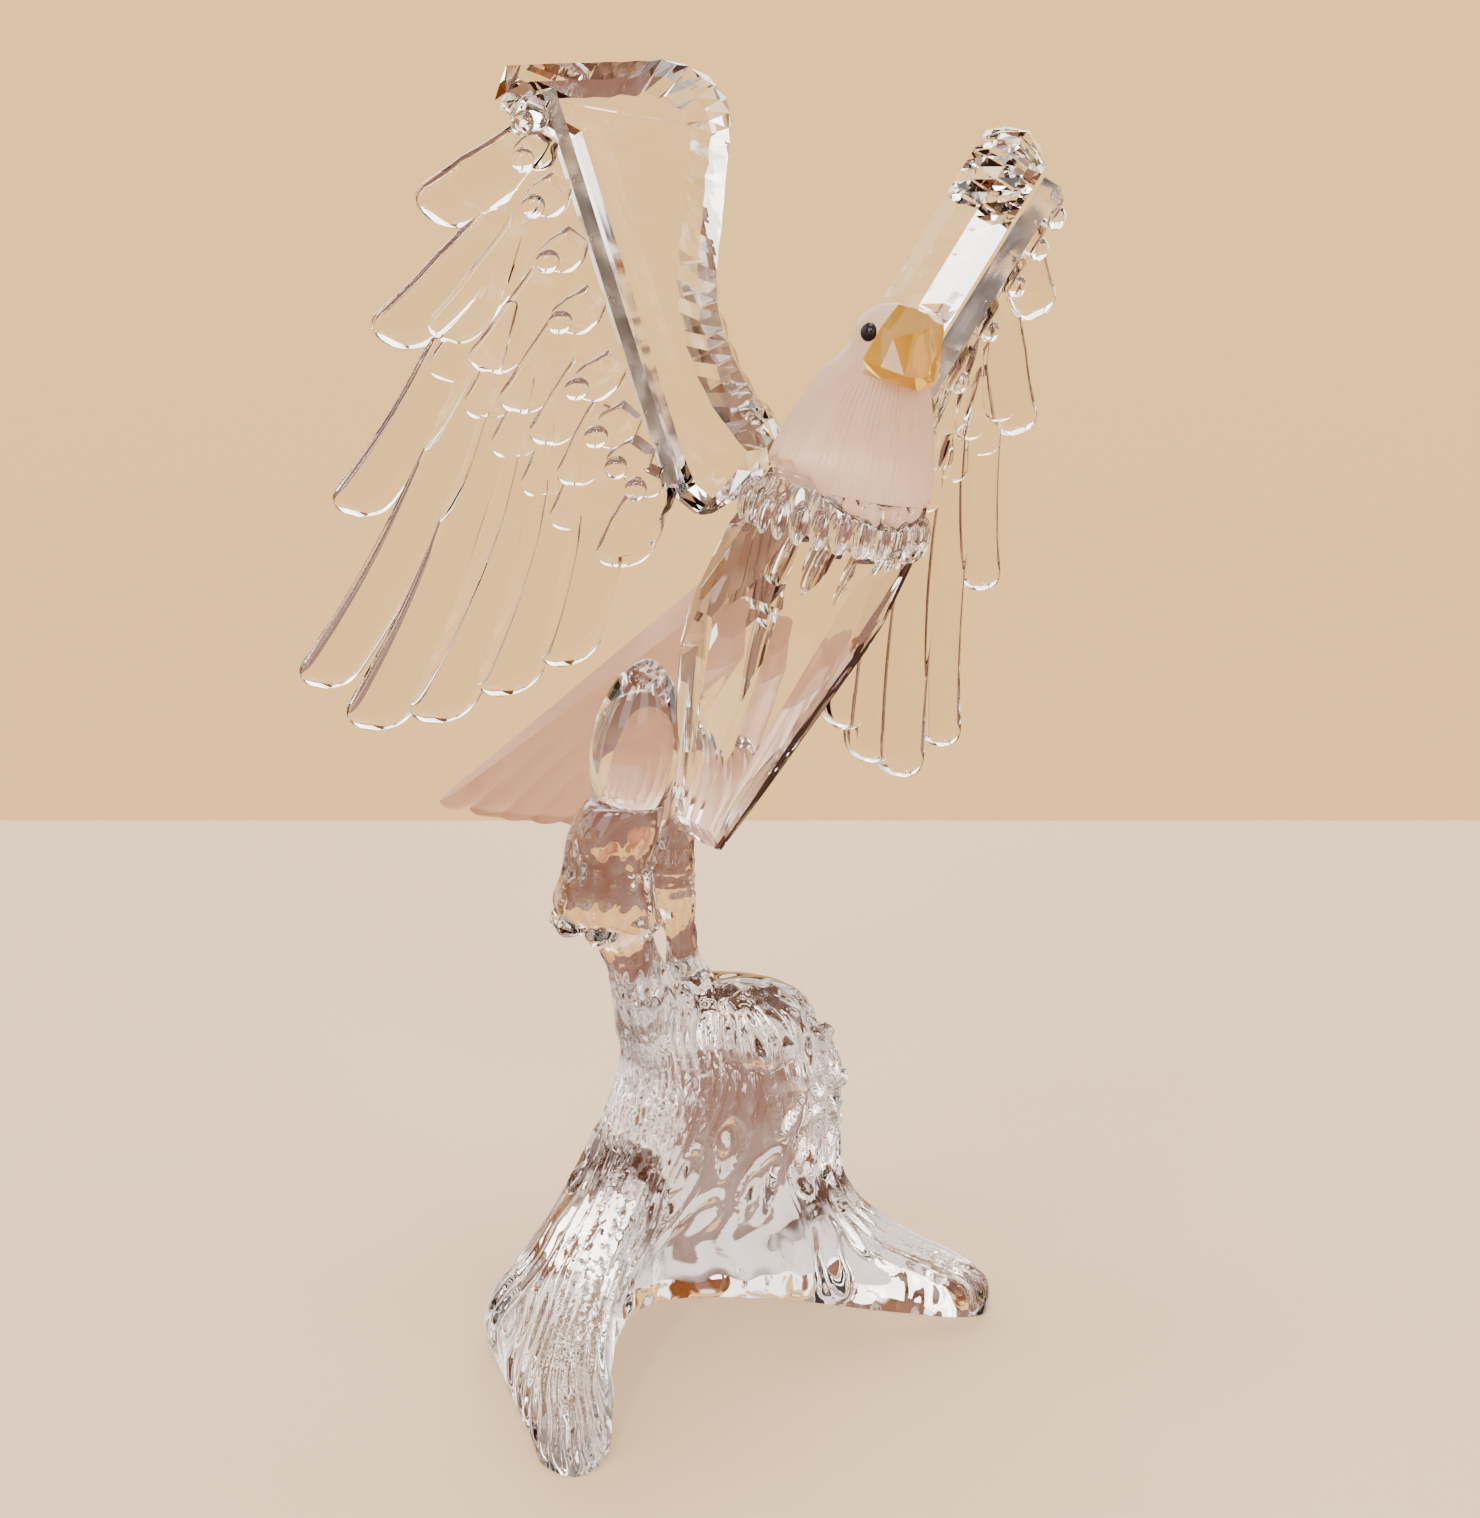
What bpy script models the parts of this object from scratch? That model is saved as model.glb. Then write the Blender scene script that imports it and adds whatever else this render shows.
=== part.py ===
"""Crystal eagle landing on a tree stump: a glued figurine of cut and moulded crystal.

Metres, +Z up. The origin is on the stump's flat underside, below the fork of its stems.
The stump is laid out in world axes, and the whole model is set on its origin at the end.
The eagle is laid out in axes of its own, which an empty holds:
X to the eagle's right, Y forward, Z up, with its origin between the shoulders.
Both wings are one design, mirrored. A wing has a cut arm plate and a moulded feather sheet, which
is lapped on the arm's outer face along a straight seam, the hinge line.
"""

from math import cos, pi, radians, sin, sqrt

import bmesh
import bpy
from mathutils import Euler, Matrix, Vector

MM = 0.001

# Height of the figure. Its pose, its proportions and its carving are shares of that height, written in
# layout units, of which the figure is LAYOUT_HEIGHT tall. Plates, gaps and eyes have sizes of their own.
FIGURE_HEIGHT = 169.7 * MM
LAYOUT_HEIGHT = 169.7
UNIT = FIGURE_HEIGHT / LAYOUT_HEIGHT

# Glue line between two pieces
GAP = 0.3 * MM

# Joined shapes: shorter edges than this are merged, and flatter ones than this angle are dissolved
SLIVER = 0.02 * MM
FLAT_ANGLE = radians(4)

# Place of the layout that becomes the origin
FOOT_MIDDLE = Vector((-9.0, 28.0, 0.0)) * UNIT

# Stance of the eagle on the stump
SHOULDER_PLACE = Vector((7.7, -5.0, 118.2)) * UNIT
HEADING = radians(62)
LEAN = radians(13)

# Wing hinge line: its lower end, its direction and the direction that the arm's outer face looks
HINGE_FOOT = Vector((16.25, -19.05, -0.1)) * UNIT
HINGE_RUN = Vector((0.469, -0.124, 0.874)).normalized()
ARM_FACING = Vector((0.772, 0.539, -0.338))

# Arm plate: a flat plate whose leading edge is ground to a ridge at half depth
ARM_THICKNESS = 8.8 * MM
ARM_BEVEL_WIDTH = 3.2 * MM
ARM_STEP = 0.7 * MM
ARM_STEP_PITCH = 3.6 * MM
ARM_MIDPLANE_GAP = 0.3 * MM
# Ridge line from the wing's top corner over the crook to the shoulder: distance ahead of the hinge
# line, and distance along it
ARM_RIDGE_LINE = [
    (-9.2, 49.2), (-3.7, 48.4), (2.6, 47.4), (9.4, 46.2), (14.2, 45.2), (17.6, 42.8), (19.4, 39.1),
    (18.8, 35.6), (16.8, 31.2), (14.1, 25.2), (11.6, 20.3), (10.1, 16.4), (9.6, 12.8), (9.9, 9.2),
    (10.6, 4.6), (13.0, 0.2),
]
# Its lower and rear edge, from the shoulder back up to the top corner
ARM_PLAIN_EDGE = [
    (13.2, -3.2), (10.0, -6.2), (5.4, -8.9), (0.2, -10.8), (-4.8, -7.2), (-6.4, -3.0), (-9.8, 44.6),
]

# Feather sheet: thickness, and how far it turns away from the arm over a bend beside the hinge line
SHEET_THICKNESS = 2.8 * MM
SHEET_END_ANGLE = radians(39)
SHEET_BEND = 16.0 * UNIT
# Plain part of the sheet that the feathers grow from: place along the hinge line, and how far out
# from the line it starts and ends there
SHEET_ROWS = [
    (46.2, 0.0, 2.4), (42.5, 0.0, 5.2), (34.0, 0.0, 9.0), (21.0, 0.0, 12.0), (8.0, 0.0, 12.8),
    (-3.6, 0.0, 12.6), (-7.4, 1.8, 12.2), (-10.8, 5.4, 11.8), (-12.2, 8.4, 10.8),
]
SHEET_COLUMNS = 3

# Rows of feathers. Each feather is (root, tip, width), the points being (out from hinge, along hinge)
PRIMARIES = [
    ((4.0, 41.5), (19.0, 35.5), 8.0),
    ((8.0, 35.0), (28.6, 22.4), 7.6),
    ((10.0, 32.5), (39.5, 3.4), 7.2),
    ((11.0, 28.0), (50.3, -16.1), 7.0),
    ((11.5, 21.0), (46.0, -23.4), 8.8),
    ((11.5, 14.5), (38.2, -25.2), 8.8),
    ((11.0, 7.5), (29.0, -24.7), 8.8),
    ((9.5, -1.0), (20.4, -23.6), 8.0),
]
PRIMARY_HALF_THICKNESS = 1.15 * MM
PRIMARY_LEVEL = -1.5 * MM
PRIMARY_BOW = 0.055

GREATER_COVERTS = [
    ((8.5, 30.0), (23.4, 15.8), 6.8),
    ((8.5, 23.5), (20.6, 9.8), 6.6),
    ((8.0, 17.0), (19.0, 4.1), 6.4),
    ((7.5, 10.5), (16.9, -1.8), 6.2),
    ((6.5, 4.0), (14.8, -6.9), 6.2),
    ((3.0, -3.5), (10.6, -13.2), 6.4),
]
GREATER_HALF_THICKNESS = 1.3 * MM
GREATER_LEVEL = -0.9 * MM

MEDIUM_COVERTS = [
    ((6.5, 32.5), (22.0, 20.6), 6.4),
    ((6.0, 26.0), (18.4, 15.4), 6.2),
    ((5.5, 20.0), (16.4, 9.4), 6.0),
    ((5.0, 14.0), (14.2, 4.4), 5.6),
    ((4.5, 8.5), (12.4, -1.6), 5.4),
]
MEDIUM_HALF_THICKNESS = 1.3 * MM
MEDIUM_LEVEL = -0.3 * MM
COVERT_BOW = 0.05
FEATHER_SKEW = 0.4
# Each feather lies this much higher than the one before it
FEATHER_LIFT = 0.03 * MM

# Lesser coverts: short scallops between the hinge line and this line of tips
LESSER_COUNT = 8
LESSER_TIPS = [(4.0, 42.6), (6.0, 36.6), (6.4, 28.0), (7.6, 18.0), (8.2, 7.0), (6.8, 0.0), (4.4, -4.4)]
LESSER_ROOT_OUT = 1.0
LESSER_ROOT_RISE = 3.2
LESSER_WIDTH = 5.6
LESSER_HALF_THICKNESS = 1.2 * MM
LESSER_LEVEL = 0.3 * MM

# Body: a cut drop with rows of long diamond facets: (height, centre's place forward, half width,
# half depth)
BODY_SECTIONS = [
    (1.6, 0.0, 9.6, 10.4), (-3.0, -1.8, 10.6, 11.8), (-10.0, -4.8, 11.4, 12.6), (-17.0, -7.5, 11.7, 12.9),
    (-24.0, -10.0, 10.7, 11.8), (-31.0, -12.4, 8.9, 9.8), (-38.0, -14.4, 6.8, 7.8),
    (-44.0, -16.0, 5.2, 6.0), (-52.0, -17.8, 3.6, 4.4),
]
BODY_TOP = 1.6
BODY_FACETS_AROUND = 14
BODY_ROWS = [-0.6, -5.4, -10.2, -15.0, -19.6, -24.0, -28.2, -32.2, -36.0, -39.6, -43.2]
BODY_END_PLACE = Vector((0.0, -18.0, -47.6)) * UNIT
BODY_END_FACING = Vector((0.452, 0.147, -0.88))
# Long polished facet on the left flank
BODY_FLANK_PLACE = Vector((-8.8, -2.9, -17.0)) * UNIT
BODY_FLANK_FACING = Vector((-0.5, 0.755, -0.428))

# Ruff of drop-shaped lobes round the top of the body
RUFF_LOBES = 16
RUFF_HEIGHT = -2.9
RUFF_INSET = 0.7 * UNIT
RUFF_LOBE_WIDTH = 1.9 * UNIT
RUFF_LOBE_LENGTH = 3.8 * UNIT
RUFF_LOBE_DEPTH = 1.9 * UNIT

# Head with its neck cape: (share of the head's height above the rim, radius, forward shift)
HEAD_FOOT = Vector((0.0, 0.0, 3.6)) * UNIT
HEAD_HEIGHT = 21.2 * UNIT
HEAD_PROFILE = [
    (0.0, 9.9, 0.0), (0.042, 10.3, 0.0), (0.236, 9.3, 0.3), (0.425, 7.9, 0.9), (0.566, 6.6, 1.5),
    (0.66, 5.3, 2.0), (0.745, 4.6, 2.4), (0.849, 4.35, 2.7), (0.925, 3.4, 2.8), (0.976, 1.9, 2.9),
]
HEAD_CAPE_TOP = 0.755
HEAD_CAPE_DROP = 5.0 * UNIT
HEAD_CAPE_BACK_DROP = 3.0 * UNIT
HEAD_FLUTES = 18
HEAD_FLUTE_DEPTH = 0.35 * MM
HEAD_SIDES = 36

# Beak: a wedge that is widest at its gape, with a high ridge and an upright front
BEAK_HEIGHT = 8.6 * UNIT
BEAK_LENGTH = 7.6 * UNIT
BEAK_GAPE_HALF_WIDTH = 5.2 * UNIT
BEAK_RIDGE_HALF_WIDTH = 1.9 * UNIT
BEAK_SOLE_DROP = 1.0 * UNIT
BEAK_ROOT = HEAD_FOOT + Vector((0.0, 5.8 * UNIT, 0.6 * HEAD_HEIGHT))
# Stations along it: (share of its length, of its gape's width, of its ridge's width, of its height)
BEAK_STATIONS = [
    (0.0, 1.0, 1.0, 0.99), (0.35, 0.8, 1.0, 1.0), (0.7, 0.46, 0.74, 0.97), (0.93, 0.17, 0.42, 0.88),
    (1.0, 0.07, 0.2, 0.76),
]
# Corners of a cross-section: (share between the gape's and the ridge's width, share of height)
BEAK_CORNERS = [(0.2, 0.0), (0.0, 0.17), (0.5, 0.66), (1.0, 1.0)]

# Eyes: lens-shaped, turned to look out of the head
EYE_RADIUS = 1.15 * MM
EYE_DEPTH = 0.65 * MM
EYE_TURN = radians(21)
EYE_PLACE = HEAD_FOOT + Vector((4.1 * UNIT, 4.1 * UNIT, 0.816 * HEAD_HEIGHT))

# Tail
TAIL_ROOT = Vector((0.0, -15.5, -13.5)) * UNIT
TAIL_END = Vector((0.0, -60.0, -58.0)) * UNIT
TAIL_ROOT_HALF_WIDTH = 5.0 * UNIT
TAIL_END_HALF_WIDTH = 17.5 * UNIT
TAIL_ROOT_THICKNESS = 6.4 * MM
TAIL_END_THICKNESS = 2.2 * MM
TAIL_FEATHERS = 7
TAIL_RIDGE = 0.7 * MM
TAIL_SCALLOP = 1.4 * UNIT
TAIL_ROUNDING = 2.6 * UNIT

# Thighs: the right one shows, the left one is tucked behind the body
THIGH_PROFILE = [
    (0.0, 4.5), (0.08, 5.1), (0.3, 5.7), (0.55, 5.4), (0.78, 4.1), (0.92, 2.4), (0.985, 0.9),
]
THIGH_HEIGHT = 18.6 * UNIT
THIGH_SIDES = 14
# Each one: where it stands, its tilt and its size
RIGHT_THIGH = (Vector((-19.1, 3.6, 77.8)) * UNIT, (radians(4), radians(9)), 1.0)
LEFT_THIGH = (Vector((-9.7, 15.6, 74.0)) * UNIT, (radians(-4), radians(16)), 0.8)

# Stump: level sections through matching flow lines, which start at the right root's tip, run round
# the back and end at the front wall beside it
STUMP_SECTIONS = [
    (0.0, [(28.6, 20.5), (21.0, 29.0), (10.5, 33.5), (8.0, 44.5), (-9.0, 39.0), (-26.0, 42.0),
           (-33.5, 29.0), (-38.8, 12.0), (-35.0, -6.0), (-31.6, -19.0), (-29.4, -27.4), (-24.6, -29.8),
           (-21.2, -21.5), (-21.8, 4.0), (-17.0, 19.6), (-2.0, 21.4), (14.0, 17.4), (26.0, 15.2)]),
    (5.0, [(26.8, 21.6), (19.6, 28.0), (9.5, 32.5), (6.8, 42.0), (-9.0, 38.0), (-25.0, 39.5),
           (-32.4, 28.5), (-38.2, 11.0), (-35.0, -5.0), (-31.8, -18.0), (-29.4, -26.0), (-24.9, -28.4),
           (-21.5, -20.0), (-21.3, 4.0), (-16.5, 18.2), (-2.0, 20.0), (13.0, 17.6), (24.6, 17.2)]),
    (10.0, [(15.6, 25.0), (12.5, 28.5), (7.5, 31.5), (5.0, 37.4), (-9.0, 36.5), (-22.5, 36.0),
            (-30.0, 27.0), (-34.4, 12.0), (-32.6, -2.0), (-30.4, -13.0), (-28.8, -20.4), (-25.2, -22.4),
            (-22.4, -15.5), (-20.6, 4.0), (-15.5, 15.4), (-2.0, 18.0), (9.0, 18.2), (14.2, 20.8)]),
    (16.0, [(9.4, 24.6), (9.0, 28.0), (6.0, 31.5), (2.0, 34.5), (-9.0, 35.4), (-20.0, 33.4),
            (-27.0, 25.5), (-30.0, 13.5), (-28.6, 3.5), (-27.2, -2.4), (-25.6, -5.6), (-23.2, -6.4),
            (-20.9, -3.2), (-18.3, 5.5), (-13.0, 12.6), (-3.0, 15.6), (5.2, 17.2), (8.6, 20.8)]),
    (25.0, [(8.3, 23.0), (7.5, 27.0), (4.5, 31.0), (-1.0, 33.5), (-9.0, 34.0), (-17.5, 31.5),
            (-23.2, 25.0), (-25.0, 17.0), (-24.2, 11.0), (-22.6, 7.6), (-20.8, 6.0), (-18.9, 5.6),
            (-17.0, 6.2), (-14.4, 8.2), (-10.0, 11.0), (-3.5, 13.0), (3.0, 15.0), (7.0, 18.6)]),
    (35.0, [(8.4, 20.5), (7.0, 25.0), (3.5, 28.5), (-2.0, 30.5), (-8.5, 31.0), (-15.0, 29.0),
            (-19.4, 24.0), (-21.0, 17.6), (-20.8, 13.2), (-19.4, 10.2), (-17.6, 8.9), (-16.0, 8.4),
            (-14.0, 8.3), (-11.4, 8.5), (-7.4, 9.0), (-2.5, 10.2), (3.5, 12.6), (7.4, 16.0)]),
    (42.0, [(5.0, 18.4), (4.0, 22.0), (1.0, 25.0), (-3.5, 27.0), (-8.5, 27.4), (-14.0, 26.0),
            (-18.0, 21.6), (-20.2, 17.0), (-20.6, 13.0), (-19.6, 10.4), (-17.8, 8.9), (-16.0, 8.3),
            (-13.8, 8.2), (-11.0, 8.2), (-7.5, 8.6), (-3.0, 9.6), (1.6, 11.8), (4.2, 15.0)]),
]
STUMP_TOP = Vector((-9.0, 16.5, 47.6)) * UNIT
STUMP_DOME = [(0.45, 0.93), (0.78, 0.74), (0.95, 0.42)]
STUMP_SPAN_STEPS = 3
STUMP_FLUTE_DEPTH = 0.5 * MM
# Stems with the leg and foot on each: (x, y, z, radius) along them
RIGHT_STEM = [
    (-13.0, 14.0, 38.0, 8.4), (-15.6, 11.4, 45.5, 5.9), (-18.0, 8.8, 52.0, 4.0), (-20.0, 6.8, 57.5, 3.9),
    (-21.4, 5.8, 60.0, 5.6), (-22.2, 5.2, 63.0, 6.6), (-22.1, 4.8, 66.0, 6.1), (-21.7, 4.4, 69.0, 5.6),
    (-20.9, 4.0, 73.0, 5.7), (-19.8, 3.8, 76.2, 5.3), (-19.2, 3.6, 77.5, 4.7),
]
LEFT_STEM = [
    (-8.5, 17.0, 38.0, 7.0), (-11.0, 16.0, 47.0, 3.8), (-12.4, 15.3, 52.0, 2.3), (-12.8, 15.1, 55.5, 2.1),
    (-13.6, 15.0, 59.0, 2.6), (-14.0, 15.0, 62.0, 2.9), (-13.9, 15.0, 66.0, 2.7), (-12.6, 15.2, 70.0, 2.3),
    (-10.9, 15.5, 72.6, 3.0), (-9.8, 15.6, 74.1, 3.4),
]
STEM_SIDES = 12
# Broken branch on the right shoulder: (centre, half sizes, turn)
SHOULDER_LUMPS = [
    ((-3.2, 13.4, 42.8), (7.4, 6.4, 5.4), radians(-24)),
    ((1.6, 15.0, 38.6), (5.2, 5.6, 5.4), radians(-30)),
]
# Toes round each foot
TOE_COUNT = 4
TOE_HALF_SIZE = (2.2, 2.9, 3.3)
RIGHT_FOOT = Vector((-22.2, 5.2, 62.6)) * UNIT
RIGHT_FOOT_REACH = 4.9 * UNIT
LEFT_FOOT = Vector((-14.0, 15.0, 62.4)) * UNIT
LEFT_FOOT_REACH = 1.5 * UNIT
LEFT_TOE_SHARE = 0.62

# Cross-sections of a feather: (share of half width, share of half thickness)
TWO_SIDED = [(1.0, 0.0), (0.45, 1.0), (-0.45, 1.0), (-1.0, 0.0), (0.0, -1.0)]
ONE_SIDED = [(1.0, -0.2), (0.45, 1.0), (-0.45, 1.0), (-1.0, -0.2), (0.0, -1.0)]
SMALL = [(1.0, -0.2), (0.0, 1.0), (-1.0, -0.2), (0.0, -1.0)]

# Colours and finishes: (colour, roughness, transmission, refractive index)
CLEAR_CRYSTAL = ((0.98, 0.97, 0.97, 1.0), 0.0, 1.0, 1.54)
FROSTED_CRYSTAL = ((0.94, 0.86, 0.84, 1.0), 0.42, 0.8, 1.5)
AMBER_CRYSTAL = ((0.86, 0.52, 0.08, 1.0), 0.03, 0.85, 1.54)
BLACK_GLASS = ((0.01, 0.01, 0.01, 1.0), 0.05, 0.0, 1.5)


def clear_scene():
    for item in list(bpy.data.objects):
        bpy.data.objects.remove(item, do_unlink=True)


def material(name, finish):
    """Principled material of one finish, made once."""
    made = bpy.data.materials.get(name)
    if made is not None:
        return made
    colour, roughness, transmission, ior = finish
    made = bpy.data.materials.new(name)
    made.use_nodes = True
    shader = made.node_tree.nodes["Principled BSDF"]
    shader.inputs["Base Color"].default_value = colour
    shader.inputs["Roughness"].default_value = roughness
    shader.inputs["Metallic"].default_value = 0.0
    shader.inputs["Transmission Weight"].default_value = transmission
    shader.inputs["IOR"].default_value = ior
    return made


def curve_value(table, where, scale=UNIT):
    """Smooth value of a table of (place, value) pairs, with flat ends outside it."""
    if where <= table[0][0]:
        return table[0][1] * scale
    for (x0, y0), (x1, y1) in zip(table, table[1:]):
        if where <= x1:
            share = (where - x0) / (x1 - x0)
            return (y0 + (y1 - y0) * share) * scale
    return table[-1][1] * scale


def smooth_path(points, count):
    """Catmull-Rom curve through points of any dimension, sampled evenly in its parameter."""
    ends = [2 * points[0] - points[1]] + list(points) + [2 * points[-1] - points[-2]]
    spans = len(points) - 1
    path = []
    for step in range(count):
        place = spans * step / (count - 1)
        span = min(int(place), spans - 1)
        t = place - span
        a, b, c, d = ends[span:span + 4]
        path.append(0.5 * (2 * b + (c - a) * t + (2 * a - 5 * b + 4 * c - d) * t * t
                           + (3 * b - a - 3 * c + d) * t ** 3))
    return path


def loft(rings, closed_start=True, closed_end=True):
    """Closed body through rings of equal length. The ends are closed by flat or fanned caps."""
    count = len(rings[0])
    points = [point for ring in rings for point in ring]
    faces = []
    for row in range(len(rings) - 1):
        for i in range(count):
            j = (i + 1) % count
            a = row * count
            b = a + count
            faces.append((a + i, a + j, b + j, b + i))
    if closed_start:
        faces.append(tuple(range(count))[::-1])
    if closed_end:
        last = (len(rings) - 1) * count
        faces.append(tuple(range(last, last + count)))
    return points, faces


def domed(rings, top):
    """Points and faces of a loft with a flat start and its end drawn to one point."""
    points, faces = loft(rings, closed_end=False)
    count = len(rings[0])
    last = (len(rings) - 1) * count
    points.append(top)
    for i in range(count):
        faces.append((last + i, last + (i + 1) % count, len(points) - 1))
    return points, faces


def outward(mesh):
    """Merge doubled points and turn every face outwards."""
    work = bmesh.new()
    work.from_mesh(mesh)
    bmesh.ops.remove_doubles(work, verts=work.verts, dist=0.00001)
    bmesh.ops.recalc_face_normals(work, faces=work.faces)
    work.to_mesh(mesh)
    work.free()


def make_object(name, points, faces):
    mesh = bpy.data.meshes.new(name)
    mesh.from_pydata([tuple(point) for point in points], [], faces)
    outward(mesh)
    made = bpy.data.objects.new(name, mesh)
    bpy.context.scene.collection.objects.link(made)
    return made


def triangulated(piece):
    """Split the faces of a piece into triangles, so that none of them is twisted."""
    work = bmesh.new()
    work.from_mesh(piece.data)
    bmesh.ops.triangulate(work, faces=work.faces)
    work.to_mesh(piece.data)
    work.free()


def apply_boolean(target, tool, operation):
    """Join or cut a body with another, which is used up."""
    triangulated(target)
    triangulated(tool)
    modifier = target.modifiers.new("join", "BOOLEAN")
    modifier.operation = operation
    modifier.solver = "EXACT"
    modifier.object = tool
    graph = bpy.context.evaluated_depsgraph_get()
    result = bpy.data.meshes.new_from_object(target.evaluated_get(graph))
    target.modifiers.clear()
    old = target.data
    target.data = result
    bpy.data.meshes.remove(old)
    bpy.data.objects.remove(tool, do_unlink=True)


def cut_by_plane(target, point, normal):
    """Grind a body flat: what lies on the normal's side goes."""
    work = bmesh.new()
    work.from_mesh(target.data)
    everything = work.verts[:] + work.edges[:] + work.faces[:]
    cut = bmesh.ops.bisect_plane(
        work, geom=everything, dist=0.000001, plane_co=point, plane_no=normal, clear_outer=True
    )
    rim = [item for item in cut["geom_cut"] if isinstance(item, bmesh.types.BMEdge)]
    bmesh.ops.holes_fill(work, edges=rim, sides=0)
    bmesh.ops.recalc_face_normals(work, faces=work.faces)
    work.to_mesh(target.data)
    work.free()


def tidy_joints(target):
    """Merge slivers and flat faces of joined shapes, and fill specks of air shut in between them."""
    work = bmesh.new()
    work.from_mesh(target.data)
    bmesh.ops.triangulate(work, faces=work.faces)
    bmesh.ops.dissolve_degenerate(work, dist=SLIVER, edges=work.edges)
    bmesh.ops.remove_doubles(work, verts=work.verts, dist=SLIVER)
    bmesh.ops.dissolve_limit(work, angle_limit=FLAT_ANGLE, verts=work.verts, edges=work.edges)
    left = set(work.verts)
    shells = []
    while left:
        shell = set()
        edge = {next(iter(left))}
        while edge:
            shell |= edge
            edge = {link.other_vert(vert) for vert in edge for link in vert.link_edges} - shell
        left -= shell
        shells.append(shell)
    main_shell = max(shells, key=len)
    loose = [vert for vert in work.verts if vert not in main_shell]
    bmesh.ops.delete(work, geom=loose, context="VERTS")
    work.to_mesh(target.data)
    work.free()


def ellipsoid(centre, half_sizes, turn, segments=10, rings=6):
    """Closed ellipsoid, turned about Z."""
    rows = []
    for row in range(1, rings):
        polar = pi * row / rings
        ring = []
        for step in range(segments):
            angle = 2 * pi * step / segments
            ring.append(Vector((
                half_sizes[0] * sin(polar) * cos(angle),
                half_sizes[1] * sin(polar) * sin(angle),
                half_sizes[2] * cos(polar),
            )))
        rows.append(ring)
    points, faces = loft(rows, closed_start=False, closed_end=False)
    top = len(points)
    points.append(Vector((0, 0, half_sizes[2])))
    points.append(Vector((0, 0, -half_sizes[2])))
    last = (rings - 2) * segments
    for i in range(segments):
        j = (i + 1) % segments
        faces.append((top, j, i))
        faces.append((top + 1, last + i, last + j))
    place = Matrix.Translation(centre) @ Matrix.Rotation(turn, 4, "Z")
    return make_object("lump", [place @ point for point in points], faces)


def mirror_image(piece, name):
    """Left-hand copy of a piece of the right wing."""
    work = bmesh.new()
    work.from_mesh(piece.data)
    bmesh.ops.scale(work, vec=(-1, 1, 1), verts=work.verts)
    bmesh.ops.reverse_faces(work, faces=work.faces)
    mesh = bpy.data.meshes.new(name)
    work.to_mesh(mesh)
    work.free()
    made = bpy.data.objects.new(name, mesh)
    bpy.context.scene.collection.objects.link(made)
    return made


class Wing:
    """Places points of the arm plate and the feather sheet in the eagle's axes."""

    def __init__(self):
        along = HINGE_RUN
        facing = (ARM_FACING - along * ARM_FACING.dot(along)).normalized()
        ahead = facing.cross(along)
        if ahead.y < 0:
            ahead = -ahead
        self.along = along
        self.facing = facing
        self.ahead = ahead
        self.steps = 240
        self.reach = 60 * UNIT
        self.bend = self.bent_line()

    def sheet_angle(self, out):
        share = min(max(out / SHEET_BEND, 0.0), 1.0)
        share = share * share * (3 - 2 * share)
        return SHEET_END_ANGLE * share

    def bent_line(self):
        """Cross-section of the bent sheet: (distance behind the hinge, distance off the arm)."""
        step = self.reach / self.steps
        line = [(0.0, 0.0)]
        for i in range(self.steps):
            angle = self.sheet_angle((i + 0.5) * step)
            back, off = line[-1]
            line.append((back + cos(angle) * step, off + sin(angle) * step))
        return line

    def arm_point(self, ahead, along, depth):
        """Point of the arm plate, depth being measured down from its outer face."""
        face = HINGE_FOOT - self.facing * (SHEET_THICKNESS + GAP)
        return face + self.ahead * ahead + self.along * along - self.facing * depth

    def sheet_point(self, out, along, level):
        """Point of the feather sheet, level being measured up from its outer face."""
        angle = self.sheet_angle(out)
        if out <= 0:
            back = out * cos(angle)
            off = out * sin(angle)
        else:
            place = min(out / self.reach, 0.9999) * self.steps
            low = int(place)
            share = place - low
            back = self.bend[low][0] * (1 - share) + self.bend[low + 1][0] * share
            off = self.bend[low][1] * (1 - share) + self.bend[low + 1][1] * share
        normal = self.facing * cos(angle) + self.ahead * sin(angle)
        return HINGE_FOOT + self.along * along - self.ahead * back + self.facing * off + normal * level


WING = Wing()


def resampled(points, pitch):
    """Points at even steps along a smooth line through 2D points, in metres."""
    dense = smooth_path([Vector(point) * UNIT for point in points], 40 * len(points))
    length = sum((b - a).length for a, b in zip(dense, dense[1:]))
    count = max(2, round(length / pitch))
    step = length / count
    result = [dense[0]]
    walked = 0.0
    for a, b in zip(dense, dense[1:]):
        piece = (b - a).length
        while walked + piece >= step * len(result) and len(result) < count:
            share = (step * len(result) - walked) / piece
            result.append(a.lerp(b, share))
        walked += piece
    result.append(dense[-1])
    return result


def inset_outline(outline, distances):
    """Move each point of a closed 2D outline inwards by its own distance."""
    count = len(outline)
    area = sum(outline[i].x * outline[(i + 1) % count].y - outline[(i + 1) % count].x * outline[i].y
               for i in range(count))
    turn = 1 if area > 0 else -1
    moved = []
    for i, point in enumerate(outline):
        before = (point - outline[i - 1]).normalized()
        after = (outline[(i + 1) % count] - point).normalized()
        tangent = (before + after).normalized()
        normal = Vector((-tangent.y, tangent.x)) * turn
        spread = max(0.6, normal.dot(Vector((-before.y, before.x)) * turn))
        moved.append(point + normal * distances[i] / spread)
    return moved


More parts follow.
